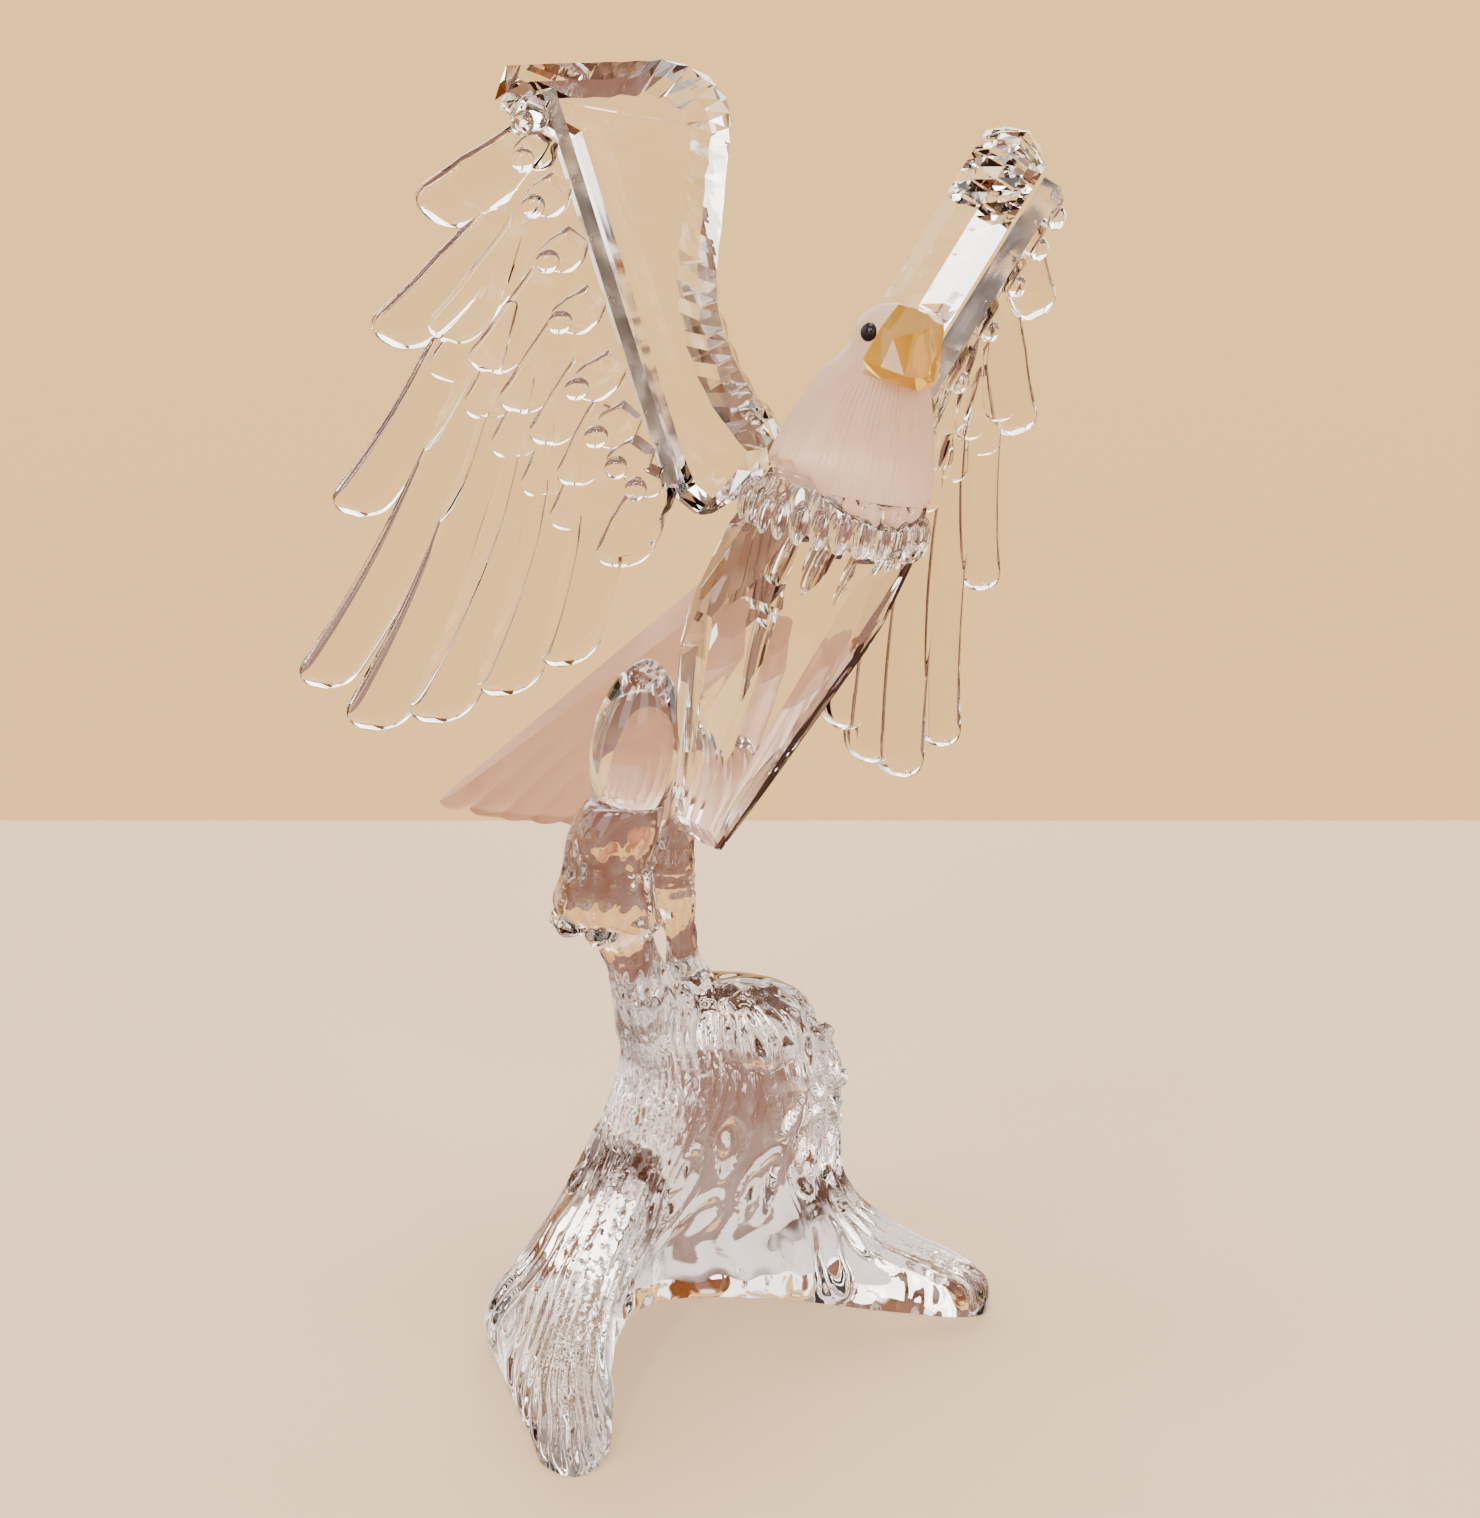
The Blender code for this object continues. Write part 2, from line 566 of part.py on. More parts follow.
def build_arm():
    """Cut plate of the right wing's arm, with stepped facets on both sides of its leading ridge."""
    leading = resampled(ARM_RIDGE_LINE, ARM_STEP_PITCH)
    ridge = []
    widths = []
    for i, point in enumerate(leading):
        last = i == len(leading) - 1
        ridge.append(point)
        widths.append(ARM_BEVEL_WIDTH - (0.0 if i == 0 or last else ARM_STEP))
        if not last:
            ridge.append(point.lerp(leading[i + 1], 0.12))
            widths.append(ARM_BEVEL_WIDTH)
    plain = [Vector(point) * UNIT for point in ARM_PLAIN_EDGE]
    shrink = [ARM_BEVEL_WIDTH, 0.8 * ARM_BEVEL_WIDTH, 0.7 * ARM_BEVEL_WIDTH, 0.6 * ARM_BEVEL_WIDTH]
    shrink += [0.25 * ARM_BEVEL_WIDTH] * (len(plain) - len(shrink))
    widths += shrink
    ridge += plain
    face = inset_outline(ridge, widths)
    layers = [(face, 0.0), (ridge, ARM_THICKNESS / 2), (face, ARM_THICKNESS)]
    rings = [[WING.arm_point(point.x, point.y, depth) for point in loop] for loop, depth in layers]
    points, faces = loft(rings)
    arm = make_object("arm", points, faces)
    cut_by_plane(arm, Vector((ARM_MIDPLANE_GAP / 2, 0, 0)), Vector((-1, 0, 0)))
    return arm


def feather_path(root, tip, bow):
    """Centre line of a feather, bowed to its inner side by a share of its length."""
    start = Vector(root) * UNIT
    end = Vector(tip) * UNIT
    run = end - start
    control = (start + end) / 2 - Vector((-run.y, run.x)) * bow * 2
    return start, control, end


def feather_blade(feather, half_thickness, level, bow, stations, section):
    """Crowned blade with a round tip, lying in the bent sheet."""
    root, tip, width = feather
    start, control, end = feather_path(root, tip, bow)
    length = (end - start).length
    half = width * UNIT / 2
    tip_share = min(0.9 * half / length, 0.4)
    shares = [i / (stations - 1) * (1 - tip_share) for i in range(stations)]
    shares += [1 - tip_share * 0.45, 1 - tip_share * 0.08]
    rings = []
    for share in shares:
        point = start * (1 - share) ** 2 + control * 2 * share * (1 - share) + end * share ** 2
        tangent = ((control - start) * (1 - share) + (end - control) * share).normalized()
        across = Vector((-tangent.y, tangent.x))
        reach = half * (0.62 + 0.38 * min(1.0, share * 2.2))
        thick = half_thickness
        if share > 1 - tip_share:
            rest = (share - 1 + tip_share) / tip_share
            reach *= sqrt(max(0.0, 1 - rest * rest))
            thick *= 1 - 0.45 * rest
        ring = []
        for place, height in section:
            skew = tangent * FEATHER_SKEW * half * place * share
            spot = point + across * reach * place + skew
            ring.append(WING.sheet_point(spot.x, spot.y, level + thick * height))
        rings.append(ring)
    points, faces = loft(rings)
    return make_object("blade", points, faces)


def sheet_plate():
    """Plain bent plate that carries the feathers, straight along the hinge line."""
    rings = []
    for along, near, far in SHEET_ROWS:
        places = [near + (far - near) * step / SHEET_COLUMNS for step in range(SHEET_COLUMNS + 1)]
        front = [WING.sheet_point(place * UNIT, along * UNIT, 0.0) for place in places]
        back = [WING.sheet_point(place * UNIT, along * UNIT, -SHEET_THICKNESS) for place in places]
        rings.append(front + back[::-1])
    points, faces = loft(rings)
    return make_object("sheet", points, faces)


def lesser_coverts():
    """Short feathers between the hinge line and their line of tips."""
    tips = smooth_path([Vector(point) for point in LESSER_TIPS], LESSER_COUNT)
    return [((LESSER_ROOT_OUT, tip.y + LESSER_ROOT_RISE), tuple(tip), LESSER_WIDTH) for tip in tips]


def build_feathers():
    """Right wing's moulded feather sheet: the plate, its primaries and rows of coverts in relief."""
    sheet = sheet_plate()
    rows = [
        (lesser_coverts(), LESSER_HALF_THICKNESS, LESSER_LEVEL, COVERT_BOW, 2, SMALL),
        (MEDIUM_COVERTS, MEDIUM_HALF_THICKNESS, MEDIUM_LEVEL, COVERT_BOW, 2, ONE_SIDED),
        (GREATER_COVERTS, GREATER_HALF_THICKNESS, GREATER_LEVEL, COVERT_BOW, 2, ONE_SIDED),
        (PRIMARIES, PRIMARY_HALF_THICKNESS, PRIMARY_LEVEL, PRIMARY_BOW, 3, TWO_SIDED),
    ]
    for feathers, half_thickness, level, bow, stations, section in rows:
        for i, feather in enumerate(feathers):
            lift = FEATHER_LIFT * i
            blade = feather_blade(feather, half_thickness, level + lift, bow, stations, section)
            apply_boolean(sheet, blade, "UNION")
    tidy_joints(sheet)
    return sheet


def section_values(height):
    """Centre's place forward, half width and half depth of the body at a height in millimetres."""
    values = []
    for column in (1, 2, 3):
        table = [(-section[0], section[column]) for section in BODY_SECTIONS]
        values.append(curve_value(table, -height))
    return values


def body_point(angle, height):
    forward, half_width, half_depth = section_values(height)
    return Vector((half_width * cos(angle), forward + half_depth * sin(angle), height * UNIT))


def build_drop(name, clearance=0.0):
    """Convex drop cut by facet planes. A clearance moves every facet outwards."""
    size = 40 * UNIT
    corners = [Vector((x, y, z)) * size for x in (-1, 1) for y in (-1, 1) for z in (-1, 1)]
    middle = body_point(0.0, BODY_ROWS[5])
    middle.x = 0.0
    faces = [(0, 1, 3, 2), (4, 6, 7, 5), (0, 4, 5, 1), (2, 3, 7, 6), (0, 2, 6, 4), (1, 5, 7, 3)]
    drop = make_object(name, [middle + corner for corner in corners], faces)
    planes = [(Vector((0, 0, BODY_TOP * UNIT)), Vector((0, 0, 1)))]
    for row, height in enumerate(BODY_ROWS):
        for step in range(BODY_FACETS_AROUND):
            angle = 2 * pi * (step + 0.5 * (row % 2)) / BODY_FACETS_AROUND
            around = body_point(angle + 0.02, height) - body_point(angle - 0.02, height)
            along = body_point(angle, height + 1.5) - body_point(angle, height - 1.5)
            planes.append((body_point(angle, height), around.cross(along).normalized()))
    planes.append((BODY_END_PLACE, BODY_END_FACING.normalized()))
    planes.append((BODY_FLANK_PLACE, BODY_FLANK_FACING.normalized()))
    for point, normal in planes:
        cut_by_plane(drop, point + normal * clearance, normal)
    return drop


def build_body():
    body = build_drop("body")
    for i in range(RUFF_LOBES):
        angle = 2 * pi * (i + 0.5) / RUFF_LOBES
        centre = body_point(angle, RUFF_HEIGHT)
        across = Vector((cos(angle), sin(angle), 0))
        sizes = (RUFF_LOBE_DEPTH, RUFF_LOBE_WIDTH, RUFF_LOBE_LENGTH)
        lobe = ellipsoid(centre - across * RUFF_INSET, sizes, angle, 6, 4)
        apply_boolean(body, lobe, "UNION")
    apply_boolean(body, head_solid("seat", GAP), "DIFFERENCE")
    return body


def head_solid(name, clearance=0.0):
    """Cape and head as one body. A clearance makes the seat that it is glued on."""
    rings = []
    for row, (share, radius, shift) in enumerate(HEAD_PROFILE):
        fade = max(0.0, 1 - share / HEAD_CAPE_TOP)
        ring = []
        for step in range(HEAD_SIDES):
            angle = 2 * pi * step / HEAD_SIDES
            reach = radius * UNIT + clearance
            reach += HEAD_FLUTE_DEPTH * fade * (cos(HEAD_FLUTES * angle) - 1) / 2
            drop = HEAD_CAPE_DROP if sin(angle) > 0 else HEAD_CAPE_BACK_DROP
            drop *= sin(angle) ** 2 * fade
            base = clearance if row == 0 else 0.0
            ring.append(HEAD_FOOT + Vector((
                reach * cos(angle),
                reach * sin(angle) + shift * UNIT,
                HEAD_HEIGHT * share - drop - base,
            )))
        rings.append(ring)
    points, faces = loft(rings, closed_start=False, closed_end=False)
    points.append(HEAD_FOOT - Vector((0, 0, clearance)))
    points.append(HEAD_FOOT + Vector((0, HEAD_PROFILE[-1][2] * UNIT, HEAD_HEIGHT)))
    last = (len(rings) - 1) * HEAD_SIDES
    for i in range(HEAD_SIDES):
        j = (i + 1) % HEAD_SIDES
        faces.append((j, i, len(points) - 2))
        faces.append((last + i, last + j, len(points) - 1))
    return make_object(name, points, faces)


def build_head():
    """Frosted head and neck cape in one piece, with seats for the beak and the eyes."""
    head = head_solid("head")
    apply_boolean(head, build_beak(GAP), "DIFFERENCE")
    for side in (1, -1):
        apply_boolean(head, build_eye(side, GAP), "DIFFERENCE")
    return head


def build_beak(clearance=0.0):
    """Facetted beak. A clearance makes the seat that it is glued in."""
    rings = []
    for share, gape, ridge, rise in BEAK_STATIONS:
        low_width = BEAK_GAPE_HALF_WIDTH * gape
        high_width = BEAK_RIDGE_HALF_WIDTH * ridge
        sole = -BEAK_SOLE_DROP * share
        half = []
        for between, level in BEAK_CORNERS:
            width = low_width + (high_width - low_width) * between + clearance
            height = sole + (BEAK_HEIGHT * rise - sole) * level + clearance * (2 * level - 1)
            half.append((width, height))
        forward = BEAK_LENGTH * share - clearance
        corners = half + [(-width, height) for width, height in half[::-1]]
        rings.append([BEAK_ROOT + Vector((width, forward, height)) for width, height in corners])
    points, faces = loft(rings)
    return make_object("beak", points, faces)


def build_eye(side, clearance=0.0):
    place = Vector((EYE_PLACE.x * side, EYE_PLACE.y, EYE_PLACE.z))
    sizes = [size + clearance for size in (EYE_DEPTH, EYE_RADIUS, EYE_RADIUS)]
    return ellipsoid(place, sizes, EYE_TURN * side, 10, 6)


def build_tail():
    """Fan of ridged tail feathers with a scalloped end."""
    rows = 4
    per_feather = 3
    across_count = TAIL_FEATHERS * per_feather
    run = TAIL_END - TAIL_ROOT
    ahead = run.normalized()
    normal = Vector((1, 0, 0)).cross(ahead)
    if normal.z < 0:
        normal = -normal
    rings = []
    for row in range(rows + 1):
        share = row / rows
        half_width = TAIL_ROOT_HALF_WIDTH + (TAIL_END_HALF_WIDTH - TAIL_ROOT_HALF_WIDTH) * share
        thickness = TAIL_ROOT_THICKNESS + (TAIL_END_THICKNESS - TAIL_ROOT_THICKNESS) * share
        ridge = TAIL_RIDGE * share ** 0.5
        upper = []
        lower = []
        for i in range(across_count + 1):
            place = 2 * i / across_count - 1
            wave = abs(sin(pi * TAIL_FEATHERS * (place + 1) / 2))
            stretch = TAIL_SCALLOP * (wave - 1) * share ** 6 - TAIL_ROUNDING * place * place * share
            centre = TAIL_ROOT + run * share + ahead * stretch + Vector((half_width * place, 0, 0))
            crown = thickness / 2 * (1 - 0.35 * place * place)
            upper.append(centre + normal * (crown + ridge * (wave - 1)))
            lower.append(centre - normal * crown)
        rings.append(upper + lower[::-1])
    points, faces = loft(rings)
    return make_object("tail", points, faces)


def build_thigh(foot, tilt, size, clearance=0.0):
    """Polished drop, flat where it stands on the leg. A clearance makes the seat for it."""
    place = Matrix.Translation(foot) @ Euler((tilt[0], tilt[1], 0)).to_matrix().to_4x4()
    rings = []
    for row, (share, radius) in enumerate(THIGH_PROFILE):
        reach = radius * UNIT * size + clearance
        height = THIGH_HEIGHT * share * size - (clearance if row == 0 else 0.0)
        ring = []
        for step in range(THIGH_SIDES):
            angle = 2 * pi * step / THIGH_SIDES
            ring.append(place @ Vector((reach * cos(angle), reach * sin(angle), height)))
        rings.append(ring)
    top = place @ Vector((0, 0, THIGH_HEIGHT * size))
    return make_object("thigh", *domed(rings, top))


def section_ring(section):
    """Closed smooth line through a level section, with bark flutes across it."""
    height, controls = section
    count = len(controls)
    corners = [Vector((x, y, height)) * UNIT for x, y in controls]
    line = []
    for i in range(count):
        a, b, c, d = (corners[(i + shift) % count] for shift in (-1, 0, 1, 2))
        for step in range(STUMP_SPAN_STEPS):
            t = step / STUMP_SPAN_STEPS
            line.append(0.5 * (2 * b + (c - a) * t + (2 * a - 5 * b + 4 * c - d) * t * t
                               + (3 * b - a - 3 * c + d) * t ** 3))
    fluted = []
    for i, point in enumerate(line):
        tangent = (line[(i + 1) % len(line)] - line[i - 1]).normalized()
        outwards = Vector((tangent.y, -tangent.x, 0))
        fluted.append(point + outwards * STUMP_FLUTE_DEPTH * (1.0 if i % 3 == 0 else -0.5))
    return fluted


def build_stump():
    """Moulded stump with roots, a fork of two stems, a broken shoulder and both feet."""
    rings = [section_ring(section) for section in STUMP_SECTIONS]
    rim = rings[-1]
    for rise, shrink in STUMP_DOME:
        level = rim[0].z + (STUMP_TOP.z - rim[0].z) * rise
        rings.append([
            Vector((STUMP_TOP.x + (point.x - STUMP_TOP.x) * shrink,
                    STUMP_TOP.y + (point.y - STUMP_TOP.y) * shrink, level))
            for point in rim
        ])
    stump = make_object("stump", *domed(rings, STUMP_TOP))
    for stem in (RIGHT_STEM, LEFT_STEM):
        apply_boolean(stump, build_stem(stem), "UNION")
    for centre, half_sizes, turn in SHOULDER_LUMPS:
        lump = ellipsoid(Vector(centre) * UNIT, [size * UNIT for size in half_sizes], turn, 10, 7)
        apply_boolean(stump, lump, "UNION")
    feet = [(RIGHT_FOOT, RIGHT_FOOT_REACH, 1.0), (LEFT_FOOT, LEFT_FOOT_REACH, LEFT_TOE_SHARE)]
    for foot, reach, share in feet:
        for toe in range(TOE_COUNT):
            angle = radians(-170 + 62 * toe)
            centre = foot + Vector((reach * cos(angle), reach * sin(angle), -0.4 * UNIT * toe * share))
            sizes = [size * UNIT * share for size in TOE_HALF_SIZE]
            apply_boolean(stump, ellipsoid(centre, sizes, angle, 8, 5), "UNION")
    for foot, tilt, size in (RIGHT_THIGH, LEFT_THIGH):
        apply_boolean(stump, build_thigh(foot, tilt, size, GAP), "DIFFERENCE")
    return stump


def build_stem(stem):
    """Tapering stem along a path, with rings level across it."""
    rings = []
    for x, y, z, radius in stem:
        ring = []
        for step in range(STEM_SIDES):
            angle = 2 * pi * step / STEM_SIDES
            reach = radius * (1 + 0.05 * cos(5 * angle + z / 4))
            ring.append(Vector((x + reach * cos(angle), y + reach * sin(angle), z)) * UNIT)
        rings.append(ring)
    points, faces = loft(rings)
    return make_object("stem", points, faces)


def finish_piece(piece, name, slot, finish, parent=None, smooth=None):
    """Name a piece, give it its finish and hang it on the eagle's stance."""
    piece.name = name
    piece.data.name = name
    piece.data.materials.clear()
    piece.data.materials.append(material(slot, finish))
    if smooth is not None:
        piece.data.shade_smooth()
        piece.data.set_sharp_from_angle(angle=smooth)
    if parent is not None:
        piece.parent = parent
    return piece


def eagle_stance():
    """Empty that holds the eagle's axes: heading round the vertical, then its lean."""
    stance = bpy.data.objects.new("eagle_stance", None)
    bpy.context.scene.collection.objects.link(stance)
    forward = Vector((cos(HEADING), -sin(HEADING), 0))
    level_left = Vector((sin(HEADING), cos(HEADING), 0))
    up = level_left * sin(LEAN) + Vector((0, 0, 1)) * cos(LEAN)
    right = forward.cross(up)
    frame = Matrix((right, forward, up)).transposed().to_4x4()
    stance.matrix_world = Matrix.Translation(SHOULDER_PLACE) @ frame
    return stance


def to_eagle(piece, stance):
    """Rewrite a piece made in world axes in the eagle's axes."""
    piece.data.transform(stance.matrix_world.inverted())


def main():
    clear_scene()
    stance = eagle_stance()
    bpy.context.view_layer.update()

    body = build_body()
    head = build_head()
    beak = build_beak()
    eyes = [build_eye(side) for side in (1, -1)]
    arms = [build_arm()]
    arms.append(mirror_image(arms[0], "left_arm"))
    sheets = [build_feathers()]
    sheets.append(mirror_image(sheets[0], "left_sheet"))
    tail = build_tail()
    right_thigh = build_thigh(*RIGHT_THIGH)
    left_thigh = build_thigh(*LEFT_THIGH)
    stump = build_stump()
    for thigh in (right_thigh, left_thigh):
        to_eagle(thigh, stance)

    for piece in arms + [tail, right_thigh, left_thigh]:
        apply_boolean(piece, build_drop("cutter", GAP), "DIFFERENCE")
    for piece in arms + [body, head, tail, stump, right_thigh, left_thigh]:
        tidy_joints(piece)

    finish_piece(stump, "tree_stump", "stump_crystal", CLEAR_CRYSTAL, smooth=radians(40))
    finish_piece(body, "body", "clear_crystal", CLEAR_CRYSTAL, stance)
    finish_piece(head, "head", "frosted_crystal", FROSTED_CRYSTAL, stance, radians(40))
    finish_piece(beak, "beak", "amber_crystal", AMBER_CRYSTAL, stance)
    finish_piece(tail, "tail", "frosted_crystal", FROSTED_CRYSTAL, stance, radians(40))
    finish_piece(right_thigh, "right_thigh", "clear_crystal", CLEAR_CRYSTAL, stance, radians(40))
    finish_piece(left_thigh, "left_thigh", "clear_crystal", CLEAR_CRYSTAL, stance, radians(40))
    stump.data.transform(Matrix.Translation(-FOOT_MIDDLE))
    stance.matrix_world = Matrix.Translation(-FOOT_MIDDLE) @ stance.matrix_world
    for side_name, eye, arm, sheet in zip(("right", "left"), eyes, arms, sheets):
        finish_piece(eye, side_name + "_eye", "black_glass", BLACK_GLASS, stance, radians(40))
        finish_piece(arm, side_name + "_wing_arm", "clear_crystal", CLEAR_CRYSTAL, stance)
        finish_piece(sheet, side_name + "_wing_feathers", "clear_crystal", CLEAR_CRYSTAL, stance, radians(50))


main()
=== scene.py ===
"""Crystal eagle landing on a tree stump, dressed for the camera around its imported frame.

Sizes are in millimetres of the layout, as the solids have them. Stance places the layout in the
frame, in metres. The eagle has axes of its own: X to its right, Y forward, Z up, from a point
between its shoulders.
"""

import logging
import math
from contextlib import contextmanager
from dataclasses import dataclass, field
from enum import Enum
from math import cos, pi, radians, sin, sqrt
from typing import Callable, Iterator, Sequence

import bmesh
import bpy
from mathutils import Matrix, Vector, noise
from mathutils.kdtree import KDTree


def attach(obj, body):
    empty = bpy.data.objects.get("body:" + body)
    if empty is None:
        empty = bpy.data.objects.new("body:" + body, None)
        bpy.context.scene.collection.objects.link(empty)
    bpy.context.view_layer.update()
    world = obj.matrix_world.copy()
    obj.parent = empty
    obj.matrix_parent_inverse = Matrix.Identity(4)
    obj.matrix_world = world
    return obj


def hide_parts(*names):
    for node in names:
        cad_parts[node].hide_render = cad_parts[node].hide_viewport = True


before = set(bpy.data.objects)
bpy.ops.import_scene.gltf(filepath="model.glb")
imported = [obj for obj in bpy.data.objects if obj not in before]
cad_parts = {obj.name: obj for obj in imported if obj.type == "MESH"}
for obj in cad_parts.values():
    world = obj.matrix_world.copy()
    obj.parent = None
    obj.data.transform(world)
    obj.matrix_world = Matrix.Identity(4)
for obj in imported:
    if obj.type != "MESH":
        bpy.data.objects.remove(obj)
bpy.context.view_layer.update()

logging.basicConfig(level=logging.INFO, format="%(message)s")
LOG = logging.getLogger("crystal_eagle")

MM = 0.001
ROOT = "root"
GLUE_GAP = 0.3
# Attribute with the stump's painted shade, darker in the grooves of its relief.
PAINTED_SHADE = "painted_shade"
GROUND = "ground"
WELD = 1e-7
TINY = 0.001
NEAR_ONE = 0.9999
JOINT_FACING = 0.8

Ring = list[Vector]
Pair = tuple[float, float]
Triple = tuple[float, float, float]
Quad = tuple[float, float, float, float]
Colour = Triple
Tree = bpy.types.NodeTree
Socket = bpy.types.NodeSocket


class Side(Enum):
    """Side of the eagle, with the sign of its X axis."""

    RIGHT = 1
    LEFT = -1

    @property
    def word(self) -> str:
        """Name of the side in the names of pieces."""
        return self.name.lower()


class Solver(Enum):
    """Boolean solvers: one for plain cuts, one for joining many dense shapes."""

    EXACT = "EXACT"
    FAST = "MANIFOLD"


@dataclass(frozen=True)
class Stance:
    """Where the layout stands in the frame, and how the eagle stands in the layout."""

    foot_middle: Triple = (-9.0, 28.0, 0.0)
    shoulder: Triple = (7.7, -5.0, 118.2)
    heading: float = radians(62)
    lean: float = radians(13)

    def layout(self) -> Matrix:
        """Matrix from layout millimetres to the frame's metres."""
        return Matrix.Scale(MM, 4) @ Matrix.Translation(-Vector(self.foot_middle))

    def eagle(self) -> Matrix:
        """Matrix from the eagle's axes, in millimetres, to the frame's metres.

        Returns:
            The matrix.
        """
        forward = Vector((cos(self.heading), -sin(self.heading), 0))
        level_left = Vector((sin(self.heading), cos(self.heading), 0))
        up = level_left * sin(self.lean) + Vector((0, 0, 1)) * cos(self.lean)
        axes = Matrix((forward.cross(up), forward, up)).transposed().to_4x4()
        return self.layout() @ Matrix.Translation(self.shoulder) @ axes


STANCE = Stance()


def linked(name: str, data: bpy.types.ID) -> bpy.types.Object:
    """New object with the given data, in the scene.

    Args:
        name: Name of the object.
        data: Its mesh, light or camera.

    Returns:
        The object.
    """
    made = bpy.data.objects.new(name, data)
    bpy.context.scene.collection.objects.link(made)
    return made


@contextmanager
def edited(mesh: bpy.types.Mesh) -> Iterator[bmesh.types.BMesh]:
    """Open a mesh for work, and write the work back when it is done.

    Args:
        mesh: The mesh.

    Returns:
        The open mesh, for a with statement.
    """
    work = bmesh.new()
    work.from_mesh(mesh)
    yield work
    work.to_mesh(mesh)
    work.free()


def smooth_line(points: Sequence[Vector], count: int) -> list[Vector]:
    """Catmull-Rom curve through points of any dimension.

    Args:
        points: Points that the curve goes through.
        count: Number of samples, even in the curve's parameter.

    Returns:
        The sampled points, both ends included.
    """
    ends = [2 * points[0] - points[1], *points, 2 * points[-1] - points[-2]]
    spans = len(points) - 1
    line = []
    for step in range(count):
        place = spans * step / (count - 1)
        span = min(int(place), spans - 1)
        line.append(spline_point(ends[span:span + 4], place - span))
    return line


def spline_point(four: Sequence[Vector], share: float) -> Vector:
    """Catmull-Rom point between the middle two of four points.

    Args:
        four: Four points in a row.
        share: Share of the way from the second to the third.

    Returns:
        The point.
    """
    a, b, c, d = four
    return 0.5 * (2 * b + (c - a) * share + (2 * a - 5 * b + 4 * c - d) * share ** 2
                  + (3 * b - a - 3 * c + d) * share ** 3)


def eased(value: float, low: float, high: float) -> float:
    """Smooth step from 0 at the low value to 1 at the high one."""
    share = min(max((value - low) / (high - low), 0.0), 1.0)
    return share * share * (3 - 2 * share)


@dataclass
class Shell:
    """Points and faces of one closed form."""

    points: list[Vector] = field(default_factory=list)
    faces: list[tuple[int, ...]] = field(default_factory=list)

    @classmethod
    def loft(cls, rings: Sequence[Ring], start: Vector | None = None, end: Vector | None = None) -> "Shell":
        """Closed form through rings of equal length.

        Args:
            rings: Rings of points, one after the other.
            start: Point that closes the first ring, or None for a flat cap.
            end: Point that closes the last ring, or None for a flat cap.

        Returns:
            The closed form.
        """
        count = len(rings[0])
        shell = cls([point.copy() for ring in rings for point in ring], [])
        for row in range(len(rings) - 1):
            for i in range(count):
                low, j = row * count, (i + 1) % count
                shell.faces.append((low + i, low + j, low + count + j, low + count + i))
        shell.close(range(count), start)
        last = (len(rings) - 1) * count
        shell.close(range(last, last + count), end)
        return shell

    def close(self, rim: Sequence[int], apex: Vector | None) -> None:
        """Close a rim by a flat face, or by a fan to an apex.

        Args:
            rim: Numbers of the rim's points, in order.
            apex: Point of the fan, or None for a flat face.
        """
        rim = list(rim)
        if apex is None:
            self.faces.append(tuple(rim))
            return
        self.points.append(apex.copy())
        top = len(self.points) - 1
        self.faces += [(rim[i], rim[(i + 1) % len(rim)], top) for i in range(len(rim))]

    def piece(self, name: str, matrix: Matrix) -> bpy.types.Object:
        """Mesh object of the form, placed by a matrix that goes into its mesh.

        Args:
            name: Name of the object.
            matrix: Matrix from the form's axes to the frame.

        Returns:
            The object, with its faces outwards.
        """
        mesh = bpy.data.meshes.new(name)
        mesh.from_pydata([tuple(matrix @ point) for point in self.points], [], self.faces)
        with edited(mesh) as work:
            bmesh.ops.remove_doubles(work, verts=work.verts, dist=WELD)
            bmesh.ops.triangulate(work, faces=[face for face in work.faces if len(face.verts) > 4])
            bmesh.ops.recalc_face_normals(work, faces=work.faces)
        return linked(name, mesh)


def ellipsoid(centre: Vector, half_sizes: Sequence[float], turn: Matrix, segments: int = 24) -> Shell:
    """Closed ellipsoid.

    Args:
        centre: Its middle.
        half_sizes: Its half sizes along its own axes.
        turn: Rotation of its axes.
        segments: Faces round it.

    Returns:
        The closed form.
    """
    rows = segments // 2
    rings = []
    for row in range(1, rows):
        polar = pi * row / rows
        rings.append([
            centre + turn @ Vector((half_sizes[0] * sin(polar) * cos(2 * pi * step / segments),
                                    half_sizes[1] * sin(polar) * sin(2 * pi * step / segments),
                                    half_sizes[2] * cos(polar)))
            for step in range(segments)
        ])
    tip = turn @ Vector((0, 0, half_sizes[2]))
    return Shell.loft(rings, centre + tip, centre - tip)


def baked(piece: bpy.types.Object) -> bpy.types.Object:
    """Turn a piece's modifiers into its plain mesh.

    Args:
        piece: The piece.

    Returns:
        The same piece.
    """
    graph = bpy.context.evaluated_depsgraph_get()
    result = bpy.data.meshes.new_from_object(piece.evaluated_get(graph))
    piece.modifiers.clear()
    old, piece.data = piece.data, result
    bpy.data.meshes.remove(old)
    return piece


def combine(target: bpy.types.Object, tool: bpy.types.Object, operation: str,
            solver: Solver = Solver.EXACT) -> bpy.types.Object:
    """Join or cut a piece with another, which is used up.

    Args:
        target: Piece that is kept.
        tool: Piece that is used up.
        operation: UNION, DIFFERENCE or INTERSECT.
        solver: Solver of the Boolean modifier.

    Returns:
        The target.
    """
    modifier = target.modifiers.new("combine", "BOOLEAN")
    modifier.operation = operation
    modifier.solver = solver.value
    modifier.object = tool
    baked(target)
    bpy.data.objects.remove(tool, do_unlink=True)
    return target


